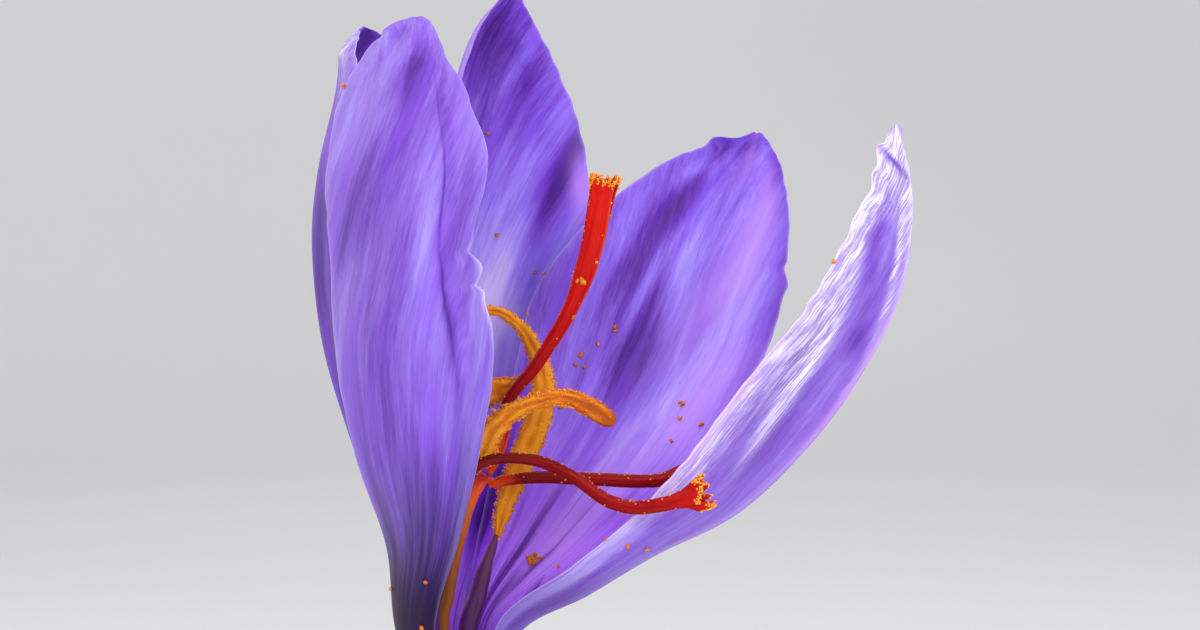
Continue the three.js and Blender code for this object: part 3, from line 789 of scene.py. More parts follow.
def fibre_finish():
    """The net of fibres over the coat: straw to chestnut, each fibre a little different."""
    nodes = Finish("corm_fibre")
    mottle = nodes.effect(MOTTLE, scale=420.0, speckle=1.2)
    straw = nodes.coats(
        nodes.ramp(nodes.at_point("shade") * 0.6 + mottle["Cloud"] * 0.4, {
            0.15: (104, 64, 36), 0.5: (164, 116, 68), 0.9: (212, 172, 118),
        }),
        (nodes.remap(nodes.at_point("along"), 0.15, 0.0, 0.0, 0.5), (84, 56, 38)),
    )
    return nodes.dress(straw, 0.66, mottle["Speckle"], depth=0.05, gloss=0.35)


FINISHES = {
    "petal_inner": petal_finish("inner"),
    "petal_outer": petal_finish("outer"),
    "tube": tube_finish(),
    "filament": filament_finish(),
    "anther": anther_finish(),
    "pollen": pollen_finish(),
    "style": style_finish(),
    "stigma": stigma_finish(),
    "sheath": sheath_finish(),
    "leaf": leaf_finish(),
    "corm": corm_finish(),
    "fibre": fibre_finish(),
}

# ---------------------------------------------------------------- tepals

# Each tepal is a thin waved sheet through three lines, in millimetres: its midrib and its two margins, named
# by the way they lie from the midrib seen from above. The lines start at the throat and end at the tip.
TEPALS = {
    "tepal_front_left": {
        "bearing": 235,
        "clockwise": [
            (-4.1, -2.6, 87.5), (-4.7, -3.0, 93.5), (-6.8, -2.8, 99.8), (-8.2, -2.2, 107.1),
            (-8.6, -1.8, 114.0), (-8.8, -1.6, 119.4), (-7.7, -1.8, 124.7), (-5.7, -3.0, 128.1),
            (-4.1, -4.4, 129.7),
        ],
        "midrib": [
            (-2.9, -4.3, 87.6), (-2.1, -7.2, 94.5), (-2.4, -9.6, 101.0), (-2.9, -11.0, 107.9),
            (-3.0, -11.0, 114.3), (-2.9, -9.8, 120.2), (-2.7, -8.0, 125.2), (-2.6, -6.4, 128.2),
            (-2.4, -5.4, 130.1),
        ],
        "anticlockwise": [
            (-1.3, -4.6, 87.8), (0.5, -6.8, 94.5), (2.1, -8.0, 101.2), (2.9, -8.4, 108.0), (1.5, -8.2, 114.4),
            (2.6, -7.2, 120.1), (1.2, -6.2, 124.6), (-0.5, -5.2, 128.1), (-1.5, -5.2, 129.9),
        ],
    },
    "tepal_left": {
        "bearing": 175,
        "clockwise": [
            (-3.5, 2.3, 87.3), (-4.2, 4.8, 93.4), (-6.0, 8.0, 100.2), (-7.7, 9.8, 107.0), (-8.3, 10.6, 113.2),
            (-7.9, 10.6, 119.0), (-6.3, 9.8, 124.5), (-5.3, 8.3, 128.2), (-5.9, 6.8, 129.2),
        ],
        "midrib": [
            (-3.9, 0.6, 87.3), (-4.9, 1.4, 93.2), (-7.4, 2.4, 100.2), (-9.4, 3.8, 106.8), (-10.2, 4.8, 113.6),
            (-9.8, 5.2, 119.2), (-8.7, 5.6, 124.6), (-8.2, 5.8, 127.8), (-6.7, 5.8, 129.4),
        ],
        "anticlockwise": [
            (-3.1, -0.9, 87.3), (-3.8, -1.9, 93.7), (-4.7, -2.6, 100.1), (-4.9, -2.8, 107.1),
            (-5.1, -2.2, 114.0), (-5.5, -1.0, 119.2), (-6.7, 1.0, 124.7), (-7.0, 3.0, 127.6),
            (-6.8, 4.8, 129.2),
        ],
    },
    "tepal_back": {
        "bearing": 115,
        "clockwise": [
            (0.7, 6.0, 86.7), (3.0, 9.9, 93.4), (6.4, 13.2, 100.3), (8.5, 15.2, 107.6), (9.4, 15.4, 115.8),
            (8.7, 14.4, 121.8), (7.2, 13.2, 125.9), (5.4, 12.2, 129.6), (4.3, 11.2, 131.9),
        ],
        "midrib": [
            (-2.1, 5.0, 86.8), (-1.0, 9.2, 93.5), (-0.3, 12.2, 100.5), (0.4, 13.6, 107.8), (0.8, 14.0, 114.4),
            (1.0, 13.6, 120.3), (0.9, 12.8, 125.4), (1.7, 11.8, 129.2), (3.8, 10.8, 132.0),
        ],
        "anticlockwise": [
            (-2.8, 4.0, 86.8), (-3.8, 7.0, 93.1), (-4.0, 9.6, 100.0), (-3.0, 10.6, 107.3),
            (-1.5, 10.2, 114.6), (-0.6, 9.2, 120.5), (0.2, 7.8, 125.6), (1.5, 7.6, 129.2), (3.1, 9.6, 131.8),
        ],
    },
    "tepal_back_right": {
        "bearing": 55,
        "clockwise": [
            (3.0, 2.2, 86.9), (9.6, 3.1, 91.7), (16.1, 5.6, 97.6), (20.6, 8.2, 103.9), (23.2, 10.0, 108.7),
            (24.0, 11.8, 114.9), (23.6, 12.8, 118.7), (22.4, 13.4, 121.4),
        ],
        "midrib": [
            (1.5, 3.9, 86.9), (5.4, 7.0, 93.1), (9.9, 9.8, 99.3), (13.7, 12.2, 105.2), (17.1, 14.0, 111.3),
            (19.6, 14.6, 116.2), (21.0, 14.4, 119.2), (21.7, 13.8, 121.7),
        ],
        "anticlockwise": [
            (0.3, 3.9, 86.9), (1.9, 6.6, 95.3), (3.6, 9.0, 102.9), (5.1, 11.0, 109.5), (8.9, 12.6, 114.9),
            (14.2, 13.6, 119.0), (18.0, 13.8, 120.6), (20.9, 13.4, 121.5),
        ],
    },
    "tepal_right": {
        "bearing": 355,
        "clockwise": [
            (2.9, -1.6, 87.6), (8.1, -3.2, 92.0), (12.2, -4.2, 95.5), (16.3, -5.0, 100.0),
            (20.4, -5.2, 105.6), (24.4, -4.8, 110.6), (27.2, -3.8, 115.4), (29.1, -2.4, 119.7),
            (30.3, -0.6, 122.4),
        ],
        "midrib": [
            (4.2, 0.2, 86.6), (9.4, 0.0, 89.7), (14.0, 0.0, 92.4), (19.9, 0.0, 95.5), (25.2, 0.0, 100.8),
            (29.1, 0.0, 106.5), (31.3, 0.0, 111.9), (31.9, 0.0, 117.4), (30.8, 0.0, 122.7),
        ],
        "anticlockwise": [
            (3.9, 2.4, 87.9), (9.4, 5.4, 92.5), (13.6, 6.3, 94.6), (18.3, 6.8, 98.3), (22.3, 7.2, 103.2),
            (26.1, 6.8, 109.2), (28.7, 5.4, 114.9), (30.2, 3.2, 119.6), (31.3, 0.6, 122.4),
        ],
    },
    "tepal_front": {
        "bearing": 295,
        "clockwise": [
            (-0.6, -6.2, 83.9), (-1.9, -12.6, 87.0), (-2.9, -20.4, 87.8), (-1.9, -28.9, 85.8),
            (1.0, -37.2, 81.1), (4.8, -42.0, 76.8), (8.4, -43.8, 74.3),
        ],
        "midrib": [
            (2.0, -6.6, 83.0), (3.6, -13.6, 84.8), (5.2, -21.5, 85.0), (6.8, -29.5, 83.4), (8.2, -37.0, 79.8),
            (8.9, -41.6, 76.4), (9.2, -43.6, 74.4),
        ],
        "anticlockwise": [
            (4.5, -5.6, 83.9), (9.0, -11.0, 87.0), (13.2, -18.6, 87.8), (15.2, -27.6, 85.8),
            (15.2, -36.2, 81.1), (12.9, -41.4, 76.8), (10.2, -43.6, 74.3),
        ],
    },
}

# Folds: (u, v) where each starts and ends, its half width in v, and its height in millimetres, inwards if
# above 0.
FOLDS = {
    "tepal_front_left": [
        ((0.42, 0.60), (0.76, 0.45), 0.055, 0.30),
        ((0.40, 0.74), (0.62, 0.62), 0.10, -0.25),
        ((0.46, 0.44), (0.51, 0.50), 0.04, 0.12),
        ((0.495, 0.60), (0.535, 1.02), 0.07, -0.22),
        ((0.530, 0.66), (0.560, 1.02), 0.06, -0.20),
        ((0.70, -0.75), (0.98, -0.35), 0.14, 0.20),
    ],
    "tepal_left": [
        ((0.30, 0.25), (0.85, 0.20), 0.16, 0.25),
        ((0.80, 0.55), (0.99, 0.30), 0.20, 0.30),
    ],
    "tepal_back": [
        ((0.62, 0.55), (0.98, 0.10), 0.12, 0.30),
        ((0.45, -0.55), (0.85, -0.62), 0.14, -0.40),
        ((0.40, 0.05), (0.80, -0.10), 0.20, 0.22),
    ],
    "tepal_back_right": [
        ((0.45, 0.30), (0.95, 0.30), 0.08, -0.35),
        ((0.50, 0.52), (0.92, 0.60), 0.09, -0.30),
        ((0.25, 0.10), (0.75, 0.12), 0.10, 0.22),
        ((0.30, -0.30), (0.90, -0.35), 0.20, 0.25),
    ],
    "tepal_right": [
        ((0.45, -0.42), (0.88, -0.50), 0.12, 0.28),
        ((0.20, -0.70), (0.80, -0.80), 0.10, -0.18),
        ((0.72, -0.22), (0.99, -0.40), 0.12, -0.25),
        ((0.60, -0.30), (0.64, -0.05), 0.06, 0.18),
    ],
    "tepal_front": [
        ((0.20, -0.35), (0.90, -0.30), 0.15, 0.25),
        ((0.20, 0.40), (0.85, 0.35), 0.15, 0.22),
        ((0.55, 0.75), (0.80, 0.60), 0.12, -0.25),
    ],
}

# Nicks in the margins: the side, the place u, the half length in u and the depth in millimetres, outwards if
# below 0.
NICKS = {
    "tepal_front_left": [
        (1, 0.556, 0.007, 0.55), (1, 0.534, 0.013, -0.60), (1, 0.514, 0.004, 0.40), (1, 0.505, 0.008, -0.25),
        (1, 0.86, 0.02, 0.30), (-1, 0.70, 0.05, 0.20), (-1, 0.93, 0.02, 0.25),
    ],
    "tepal_left": [(1, 0.90, 0.02, 0.10), (-1, 0.80, 0.03, 0.15)],
    "tepal_back": [(1, 0.78, 0.05, 0.30)],
    "tepal_back_right": [
        (-1, 0.530, 0.07, -0.60), (-1, 0.665, 0.010, -0.25), (-1, 0.685, 0.008, 0.30),
        (1, 0.935, 0.04, -0.62), (1, 0.60, 0.02, 0.10),
    ],
    "tepal_right": [
        (-1, 0.938, 0.022, -0.20), (-1, 0.85, 0.015, 0.12), (1, 0.965, 0.016, -0.12),
    ],
    "tepal_front": [(1, 0.75, 0.02, 0.35), (-1, 0.62, 0.02, 0.25), (-1, 0.88, 0.015, 0.3)],
}

# Soft areas of colour by what they change: u and v of the middle, half length, half width, lean and strength.
# Areas that brighten towards silvery white are painted sheen; blush areas are a pink flush.
# Tone areas hold a tepal's own darker and lighter patches, and also painted shade and painted light: shade
# painted in creases, hollows and shadows cast by neighbours, light painted where neighbours shade a tepal.
AREAS = {
    "tepal_front_left": {
        "outer": {
            # Painted shade along the crease and to its right, painted light to its left, and painted shade at
            # the foot,
            # among the tepal's own dark patches.
            "tone": [
                (0.815, 0.12, 0.07, 0.20, 3.0, -1.35), (0.73, -0.21, 0.05, 0.15, 2.0, 0.75),
                (0.93, -0.25, 0.04, 0.25, 0.0, -0.5), (0.14, 0.30, 0.06, 0.50, 0.0, -0.5),
                (0.84, -0.72, 0.14, 0.24, 0.0, 0.2), (0.55, -0.98, 0.25, 0.05, 0.0, 0.3),
                (0.62, -0.50, 0.11, 0.22, 3.0, -0.75), (0.70, -0.05, 0.10, 0.10, 3.0, -0.35),
                (0.55, 0.36, 0.14, 0.10, 2.5, 0.35), (0.58, 0.30, 0.12, 0.14, 0.0, 0.35),
                (0.48, 0.55, 0.09, 0.05, -0.7, -1.0), (0.64, 0.485, 0.14, 0.018, -0.25, -0.9),
                (0.64, 0.56, 0.13, 0.07, -0.25, -0.5), (0.64, 0.75, 0.14, 0.14, 0.0, -0.45),
                (0.36, -0.60, 0.10, 0.25, 0.0, -0.6), (0.40, 0.85, 0.10, 0.18, 0.0, 0.3),
                (0.20, 0.90, 0.14, 0.12, 0.0, 0.9),
            ],
            "silver": [(0.50, 0.99, 0.05, 0.03, 0.0, 0.7)],
        },
        "inner": {
            "tone": [(0.70, 0.0, 0.3, 0.5, 0.0, -0.3)],
        },
    },
    "tepal_left": {
        "outer": {
            "silver": [(0.93, 0.45, 0.11, 0.55, 0.0, 0.8)],
            # painted shade where the front tepal shades this one
            "tone": [(0.55, 0.20, 0.30, 0.6, 0.0, -0.9), (0.25, 0.10, 0.15, 0.6, 0.0, -0.6)],
        },
        "inner": {
            # painted shade in the hollow under the hooded tip
            "tone": [(0.90, -0.4, 0.15, 0.7, 0.0, -1.5)],
        },
    },
    "tepal_back": {
        "outer": {
            "tone": [(0.85, 0.5, 0.2, 0.3, 0.0, -0.2)],
            "blush": [(0.75, 0.95, 0.18, 0.10, 0.0, 0.6)],
        },
        "inner": {
            # Painted shadow near the right margin where the stigma and the next tepal shade it, and painted
            # light low
            # down where neighbours shade it, among its own dark streaks.
            "tone": [
                (0.88, -0.15, 0.12, 0.60, 0.0, -1.1), (0.72, -0.50, 0.06, 0.09, -4.0, -0.7),
                (0.80, -0.62, 0.05, 0.08, -5.0, 0.8), (0.66, -0.30, 0.06, 0.25, -2.5, 0.4),
                (0.56, -0.44, 0.12, 0.16, -3.0, 0.1), (0.60, -0.82, 0.12, 0.11, -3.0, -1.8),
                (0.43, -0.32, 0.13, 0.7, 0.0, 2.3), (0.20, -0.20, 0.12, 0.9, 0.0, 0.6),
                (0.23, -0.62, 0.05, 0.25, 0.0, -1.8), (0.68, -0.93, 0.05, 0.08, 0.0, 0.4),
                (0.86, -0.78, 0.05, 0.16, 0.0, 0.4),
            ],
            "blush": [(0.58, -0.95, 0.05, 0.07, 0.0, 0.9)],
        },
    },
    "tepal_back_right": {
        "outer": {},
        "inner": {
            # Painted light low down and in the middle, where neighbours shade this tepal, and painted shade
            # where the
            # stamens shade it, among its own dark streaks.
            "tone": [
                (0.74, 0.50, 0.10, 0.11, 0.6, -1.1), (0.48, 0.10, 0.09, 0.17, 0.8, -1.2),
                (0.585, 0.0, 0.05, 0.09, 1.2, 0.5), (0.25, -0.10, 0.18, 0.80, 0.0, 0.9),
                (0.68, -0.45, 0.12, 0.40, 0.0, 1.0), (0.50, -0.55, 0.10, 0.28, 0.0, 0.7),
                (0.20, -0.50, 0.12, 0.28, 0.0, 0.9), (0.24, 0.95, 0.05, 0.25, 0.0, -1.8),
                (0.83, 0.40, 0.06, 0.30, 0.0, 0.5), (0.62, 0.10, 0.10, 0.10, 0.6, 0.5),
                (0.58, 0.50, 0.08, 0.09, 0.8, -0.7), (0.90, 0.75, 0.05, 0.25, 0.0, -0.4),
                (0.80, 0.66, 0.05, 0.10, 0.0, 0.5), (0.94, 0.10, 0.05, 0.25, 0.0, -0.5),
                (0.57, 0.30, 0.11, 0.05, 0.6, 0.9), (0.49, -0.32, 0.10, 0.05, 1.8, 0.9),
                (0.40, -0.30, 0.06, 0.30, 0.0, 0.4), (0.60, -0.97, 0.20, 0.07, 0.0, -0.5),
            ],
            "blush": [
                (0.65, -0.40, 0.13, 0.22, -1.5, 0.8), (0.80, -0.62, 0.09, 0.22, 0.0, 0.6),
                (0.45, -0.70, 0.11, 0.25, 0.0, 0.8), (0.90, -0.05, 0.08, 0.18, 0.0, 0.5),
            ],
        },
    },
    "tepal_right": {
        "outer": {
            # painted sheen: where the silvery highlight is painted on this tepal's outer face
            "silver": [
                (0.70, -0.93, 0.17, 0.11, 0.0, 0.95), (0.955, -0.50, 0.11, 0.75, 0.0, 1.25),
                (0.67, -0.80, 0.13, 0.07, -1.0, 0.95), (0.56, -0.74, 0.08, 0.06, -1.0, 0.5),
                (0.79, -0.37, 0.10, 0.030, -0.9, 1.0), (0.46, -0.92, 0.12, 0.10, 0.0, 0.5),
                (0.86, -0.20, 0.12, 0.12, 0.0, 0.8), (0.93, -0.66, 0.018, 0.22, -14.0, -1.2),
                (0.79, -0.58, 0.05, 0.16, 0.0, -0.6), (0.84, -0.93, 0.05, 0.06, 0.0, 0.6),
                (0.755, -0.66, 0.06, 0.10, -2.0, -0.6), (0.33, -0.97, 0.12, 0.06, 0.0, 0.45),
                (0.24, -0.80, 0.10, 0.05, 0.0, 0.25),
            ],
            "tone": [
                (0.51, -0.60, 0.10, 0.10, 0.0, -0.4), (0.62, -0.84, 0.09, 0.05, -0.5, -0.5),
                (0.93, -0.66, 0.018, 0.20, -14.0, -0.6), (0.755, -0.66, 0.06, 0.11, -2.0, -0.55),
                (0.67, -0.47, 0.025, 0.12, 0.0, -0.8), (0.52, -0.48, 0.06, 0.09, 0.0, -0.5),
                (0.24, -0.88, 0.16, 0.14, 0.0, 1.0),
            ],
            "blush": [(0.72, -0.10, 0.28, 0.13, 0.0, 0.9), (0.50, -1.00, 0.10, 0.05, 0.0, 0.8)],
        },
        "inner": {
            "blush": [(0.50, 0.75, 0.30, 0.25, 0.0, 0.6)],
            "tone": [(0.40, 0.6, 0.30, 0.30, 0.0, 0.4)],
        },
    },
    "tepal_front": {
        "outer": {
            "tone": [(0.5, 0.0, 0.3, 0.4, 0.0, 0.3)],
        },
        "inner": {
            "tone": [
                (0.75, 0.2, 0.12, 0.2, 0.5, -0.8), (0.55, -0.35, 0.15, 0.12, 0.0, -0.6),
                (0.5, 0.0, 0.2, 0.2, 0.0, 0.5),
            ],
            "blush": [(0.6, 0.5, 0.25, 0.2, 0.0, 0.5)],
        },
    },
}

# Streaks part from a line that lies at this v, spread from it by this much, and lean over by this much v per
# u.
FANS = {
    "tepal_front_left": (-1.0, 0.0, 2.75),
    "tepal_left": (0.0, 0.7, 0.0),
    "tepal_back": (1.2, 0.0, -3.3),
    "tepal_back_right": (-0.1, 0.2, 0.85),
    "tepal_right": (-1.15, 0.0, 0.0),
    "tepal_front": (0.0, 0.8, 0.0),
}
LEAN_START = 0.42  # how far up a tepal its streaks begin to lean
# A foot's darkness is partly the tepal's own dark base and partly painted shade, full on feet lying in shade.
FOOT_SHADES = {"tepal_right": 0.35, "tepal_front": 0.7}  # how dark the foot's outer side is, if less than 1
TEPAL_ROWS, TEPAL_COLUMNS = 250, 64
CROWDING = 1.35  # how far the columns of points crowd towards the margins
SLOPE_STEP = 0.004  # in u and v, over which a sheet's slope is taken


def area_values(areas, u, v):
    """How strongly each kind of coloured area covers each point of a face."""
    values = {"tone": np.zeros_like(u), "silver": np.zeros_like(u), "blush": np.zeros_like(u)}
    for kind in areas:
        for u0, v0, half_length, half_width, lean, strength in areas[kind]:
            cover = hump(u, u0, half_length) * hump(v - lean * (u - u0), v0, half_width)
            values[kind] = values[kind] + strength * cover
    return {**values, "silver": clamp01(values["silver"]), "blush": clamp01(values["blush"])}


def streak_run(name, u, v, half_width):
    """How far across a tepal a point's streak lies, in millimetres where the tepal is widest."""
    start, spread, lean = FANS[name]
    widest = half_width.max()
    past = np.maximum.accumulate(half_width, axis=0) >= widest
    width = np.where(past, half_width, widest)
    past_start = u - LEAN_START
    shift = lean * (past_start + np.sqrt(past_start**2 + 0.01)) / 2
    return (v - start - shift) * width / (1 + spread * smooth((u - 0.25) / 0.75))


def tepal_lines(tepal):
    """The three guide lines from the throat up."""
    foot = around(tepal["bearing"], THROAT_RADIUS, THROAT)
    side = around(tepal["bearing"] + 90, TEPAL_BASE_WIDTH / 2, 0.0)
    starts = {"clockwise": foot - side, "midrib": foot, "anticlockwise": foot + side}
    return [np.vstack([start, tepal[line]]) for line, start in starts.items()]


def make_tepal(name, index):
    clockwise, midrib, anticlockwise = tepal_lines(TEPALS[name])
    columns = np.sin(np.linspace(-1, 1, TEPAL_COLUMNS) * CROWDING) / math.sin(CROWDING)
    u, v = np.meshgrid(np.linspace(0, 1, TEPAL_ROWS), columns, indexing="ij")
    side_of, off_midrib = np.sign(v), np.abs(v)
    half_width = np.linalg.norm(through(anticlockwise, u) - through(clockwise, u), axis=-1) / 2

    # Nicks shorten the sheet across and a rounded tip along, and the foot widens to meet its neighbours.
    reach = v.copy()
    for side, place, half_length, depth in NICKS[name]:
        bite = depth * hump(u, place, half_length) * clamp01(v * side) ** 3
        reach = reach - side * bite / np.maximum(half_width, 0.8)
    tremble = 0.028 * ripples(40 + index, u * 46, side_of * 3) * off_midrib**4 * smooth((u - 0.2) / 0.2)
    reach = reach + side_of * tremble / np.maximum(half_width, 1.5)
    reach = reach * (1 + 0.22 * (1 - smooth(u / 0.07)))
    tip = u * (1 - 0.012 * v**2 * u**10) - 0.003 * ripples(60 + index, v * 2.5) * u**14
    tip = np.minimum(tip, 1.0)

    def at(a, b):
        a, b = np.clip(a, 0, 1), b[..., None]
        low = through(clockwise, a) * (b * b - b) / 2
        high = through(anticlockwise, a) * (b * b + b) / 2
        return low + through(midrib, a) * (1 - b * b) + high

    def inward_from(slope_along, slope_across):
        """The way in from the sheet. At the foot it is level, so that neighbours meet squarely."""
        level = -around(TEPALS[name]["bearing"], 1.0, 0.0)
        return unit(mix(level, unit(np.cross(slope_along, slope_across)), smooth(u / 0.08)[..., None]))

    middle = at(tip, reach)
    middle[0, :, 2] -= TEPAL_ROOT
    slope_along = at(tip + SLOPE_STEP, reach) - at(tip - SLOPE_STEP, reach)
    inward = inward_from(slope_along, at(tip, reach + SLOPE_STEP) - at(tip, reach - SLOPE_STEP))

    # The same slow margin wave as the solid's, then finer ruffles, corrugation between the veins, and folds.
    steady = smooth((u - 0.3) / 0.25) * (1 - smooth((u - 0.85) / 0.15))
    run = streak_run(name, u, v, half_width)
    relief = MARGIN_WAVE * steady * off_midrib**3 * np.sin(19 * u + 2.4 * side_of + index * 1.9)
    relief += 0.03 * smooth((u - 0.25) / 0.25) * off_midrib**8 * ripples(20 + index, u * 26, side_of * 2)
    relief += 0.055 * smooth((u - 0.1) / 0.4) * ripples(index, u * 3.5, run * 0.45)
    relief += 0.012 * smooth((u - 0.1) / 0.4) * ripples(10 + index, u * 7.0, run * 1.6)
    for (u0, v0), (u1, v1), width, height in FOLDS[name]:
        share = clamp01((u - u0) / (u1 - u0))
        window = smooth((u - u0) / 0.06 + 0.5) * smooth((u1 - u) / 0.06 + 0.5)
        relief += height * window * hump(v, mix(v0, v1, share), width)
    middle = middle + inward * relief[..., None]

    # Slopes again from the finished sheet, so that its two faces stay the same distance apart.
    inward = inward_from(np.gradient(middle, axis=0), np.gradient(middle, axis=1))
    thickness = mix(TEPAL_SHEET, TEPAL_EDGE, off_midrib**5) * mix(1.0, 0.45, smooth((u - 0.8) / 0.2))
    half = inward * (thickness[..., None] / 2)

    body = Body()
    shared = {"along": u, "across": v, "run": run, "seed": index * 7.3, "foot": FOOT_SHADES.get(name, 1.0)}
    for slot, (side, points) in enumerate((("inner", middle + half), ("outer", middle - half))):
        faces = grid_faces(*u.shape, flip=side == "inner")
        body.add(points, faces, slot, **shared, **area_values(AREAS[name][side], u, v))
    order = np.arange(u.size).reshape(u.shape)
    edge = np.concatenate([order[0, ::-1], order[1:, 0], order[-1, 1:], order[-2:0:-1, -1]])
    following = np.roll(edge, -1)
    body.add_faces(np.stack([edge, edge + u.size, following + u.size, following], axis=-1), 1)
    return body.finish(name + "_sheet", name, "tepal", "petal_inner", "petal_outer")


# ---------------------------------------------------------------- flower tube

# The stalk's profile: share of the way up to the throat's rim, and how much wider it is there.
TUBE_SWELL = [(0.25, 0.0), (0.5, 0.0), (0.7, 0.0), (0.82, 0.15), (0.91, 0.55)]
# The throat's wall and lining: radius from the throat's own, and height from its rim.
THROAT_WALL = [(0.12, -1.4), (0.19, 0.5), (0.14, 1.3)]
THROAT_LINING = [(-0.05, 1.2), (-0.19, 0.3), (-0.55, -1.2)]


def make_tube():
    """The stalk-like tube with its throat, whose thinned rim runs out on the tepals' feet."""
    rim = THROAT - TOUCH_GAP
    wall = [(TUBE_RADIUS, NECK_FLOOR - 1.5)]
    wall += [(TUBE_RADIUS + wider, mix(NECK_FLOOR, rim, share)) for share, wider in TUBE_SWELL]
    wall += [(THROAT_RADIUS + out, rim + up) for out, up in THROAT_WALL]
    lining = [(THROAT_RADIUS + out, rim + up) for out, up in THROAT_LINING]
    lining += [(THROAT_RADIUS - 1.2, CUP_FLOOR - 0.1), (0.3, CUP_FLOOR - 0.3)]
    outline = np.vstack([through(wall, rise(150)), through(lining, rise(24))])
    radius, z, bearing = outline[..., 0], outline[..., 1], bearings(54)
    ridges = 0.035 * np.cos(np.radians(bearing * 6)) + 0.02 * ripples(5, z * 0.12, bearing * 0.06)
    rings = around(bearing, radius + ridges * smooth(radius / 1.2), z) + shoot_axis(z)
    body = Body()
    add_tube(body, rings, along=clamp01((z - NECK_FLOOR) / (THROAT - NECK_FLOOR)), across=bearing / 180 - 1)
    return body.finish("flower_tube_skin", "perianth_tube", "flower_tube", "tube")


# ---------------------------------------------------------------- stamens

FRONT = np.array([0.0, -1.0, 0.0])
FILAMENT_WIDTH = [0.36, 0.46, 0.64, 0.68, 0.58, 0.40, 0.2]
FILAMENT_DEPTH = [0.30, 0.30, 0.34, 0.34, 0.32, 0.28, 0.16]
FILAMENT_ENTRY = (0.1, 0, 0.5)  # by which a filament runs on into its anther
ANTHER_ROWS, ANTHER_COLUMNS = 260, 44
ANTHER_END = 0.055  # share of an anther's length that its end rounds off over

# Each stamen's tone is painted light and shade along its anther, set by how light falls on it.
STAMENS = [
    {
        "bearing": 355,
        "filament": [
            (1.0, 0.5, 83.0), (0.8, 0.9, 86.8), (1.4, 1.4, 89.0), (1.9, 1.9, 90.8), (2.35, 2.25, 92.2),
        ],
        "anther": [
            (2.7, 2.5, 92.9), (3.4, 2.8, 95.5), (4.3, 3.0, 98.0), (5.2, 3.3, 100.1), (5.9, 3.6, 102.2),
            (6.1, 3.8, 104.3), (5.5, 3.9, 106.5), (4.4, 3.9, 108.2), (3.0, 3.8, 109.2), (1.6, 3.6, 109.3),
        ],
        "width": [0.16, 0.55, 0.80, 0.88, 0.86, 0.80, 0.68, 0.48, 0.36, 0.32, 0.30],
        "ragged": [0.6, 1.0, 1.0, 1.0, 1.0, 0.9, 0.7, 0.6, 0.5, 0.15, 0.1],
        "tone": [1.0, 1.05, 0.95, 0.9],
    },
    {
        "bearing": 235,
        "filament": [(-1.5, -1.7, 84.0), (-1.7, -2.3, 89.0), (-1.0, -2.7, 93.5), (0.0, -2.5, 96.9)],
        "anther": [
            (0.6, -2.2, 98.2), (1.9, -2.7, 99.9), (2.8, -3.1, 101.7), (4.2, -3.0, 102.9), (6.0, -2.6, 103.6),
            (7.7, -2.4, 103.8), (9.4, -2.2, 103.1), (11.2, -2.1, 101.9),
        ],
        "width": [0.24, 0.62, 0.76, 0.70, 0.58, 0.47, 0.42, 0.47, 0.60, 0.70, 0.60],
        "ragged": [0.8, 1.0, 1.0, 0.9, 1.0, 1.0, 1.0, 0.9, 0.5, 0.1, 0.0],
        "tone": [1.1, 1.0, 0.75, 0.45, 0.3, 0.0],
    },
    {
        "bearing": 115,
        "filament": [(-1.3, 1.4, 84.0), (-1.9, 1.5, 89.0), (-1.7, 1.4, 93.5), (-0.95, 1.3, 96.7)],
        "anther": [
            (-0.7, 1.3, 97.5), (-0.1, 1.5, 100.3), (1.3, 1.7, 102.8), (2.9, 1.9, 103.9), (4.7, 2.0, 104.3),
        ],
        "width": [0.3, 0.7, 0.85, 0.9, 0.85, 0.8, 0.7, 0.5, 0.3],
        "ragged": [0.7, 0.8, 0.9, 1.0, 1.0, 0.9, 0.8, 0.6, 0.4],
        "tone": [0.7, 0.75],
    },
]


def make_filament(stamen, number):
    start = [around(stamen["bearing"], FILAMENT_RING_RADIUS, z) for z in (CUP_FLOOR, THROAT + 1)]
    path = np.vstack([*start, stamen["filament"], np.array(stamen["anther"][0]) + FILAMENT_ENTRY])
    t, angle = rise(70), turns(28)
    width, depth = follow(FILAMENT_WIDTH, t), follow(FILAMENT_DEPTH, t)
    ribs = 1 + 0.05 * np.cos(5 * angle + 1.1) + 0.04 * ripples(70 + number, t * 8, np.cos(angle) * 2)
    body = Body()
    rings = Strand(path, t, FRONT).rings(width * ribs * np.cos(angle), depth * ribs * np.sin(angle))
    add_tube(body, rings, along=t, across=np.cos(angle))
    return body.finish(f"filament_{number}_stalk", f"filament_{number}", "filament", "filament")


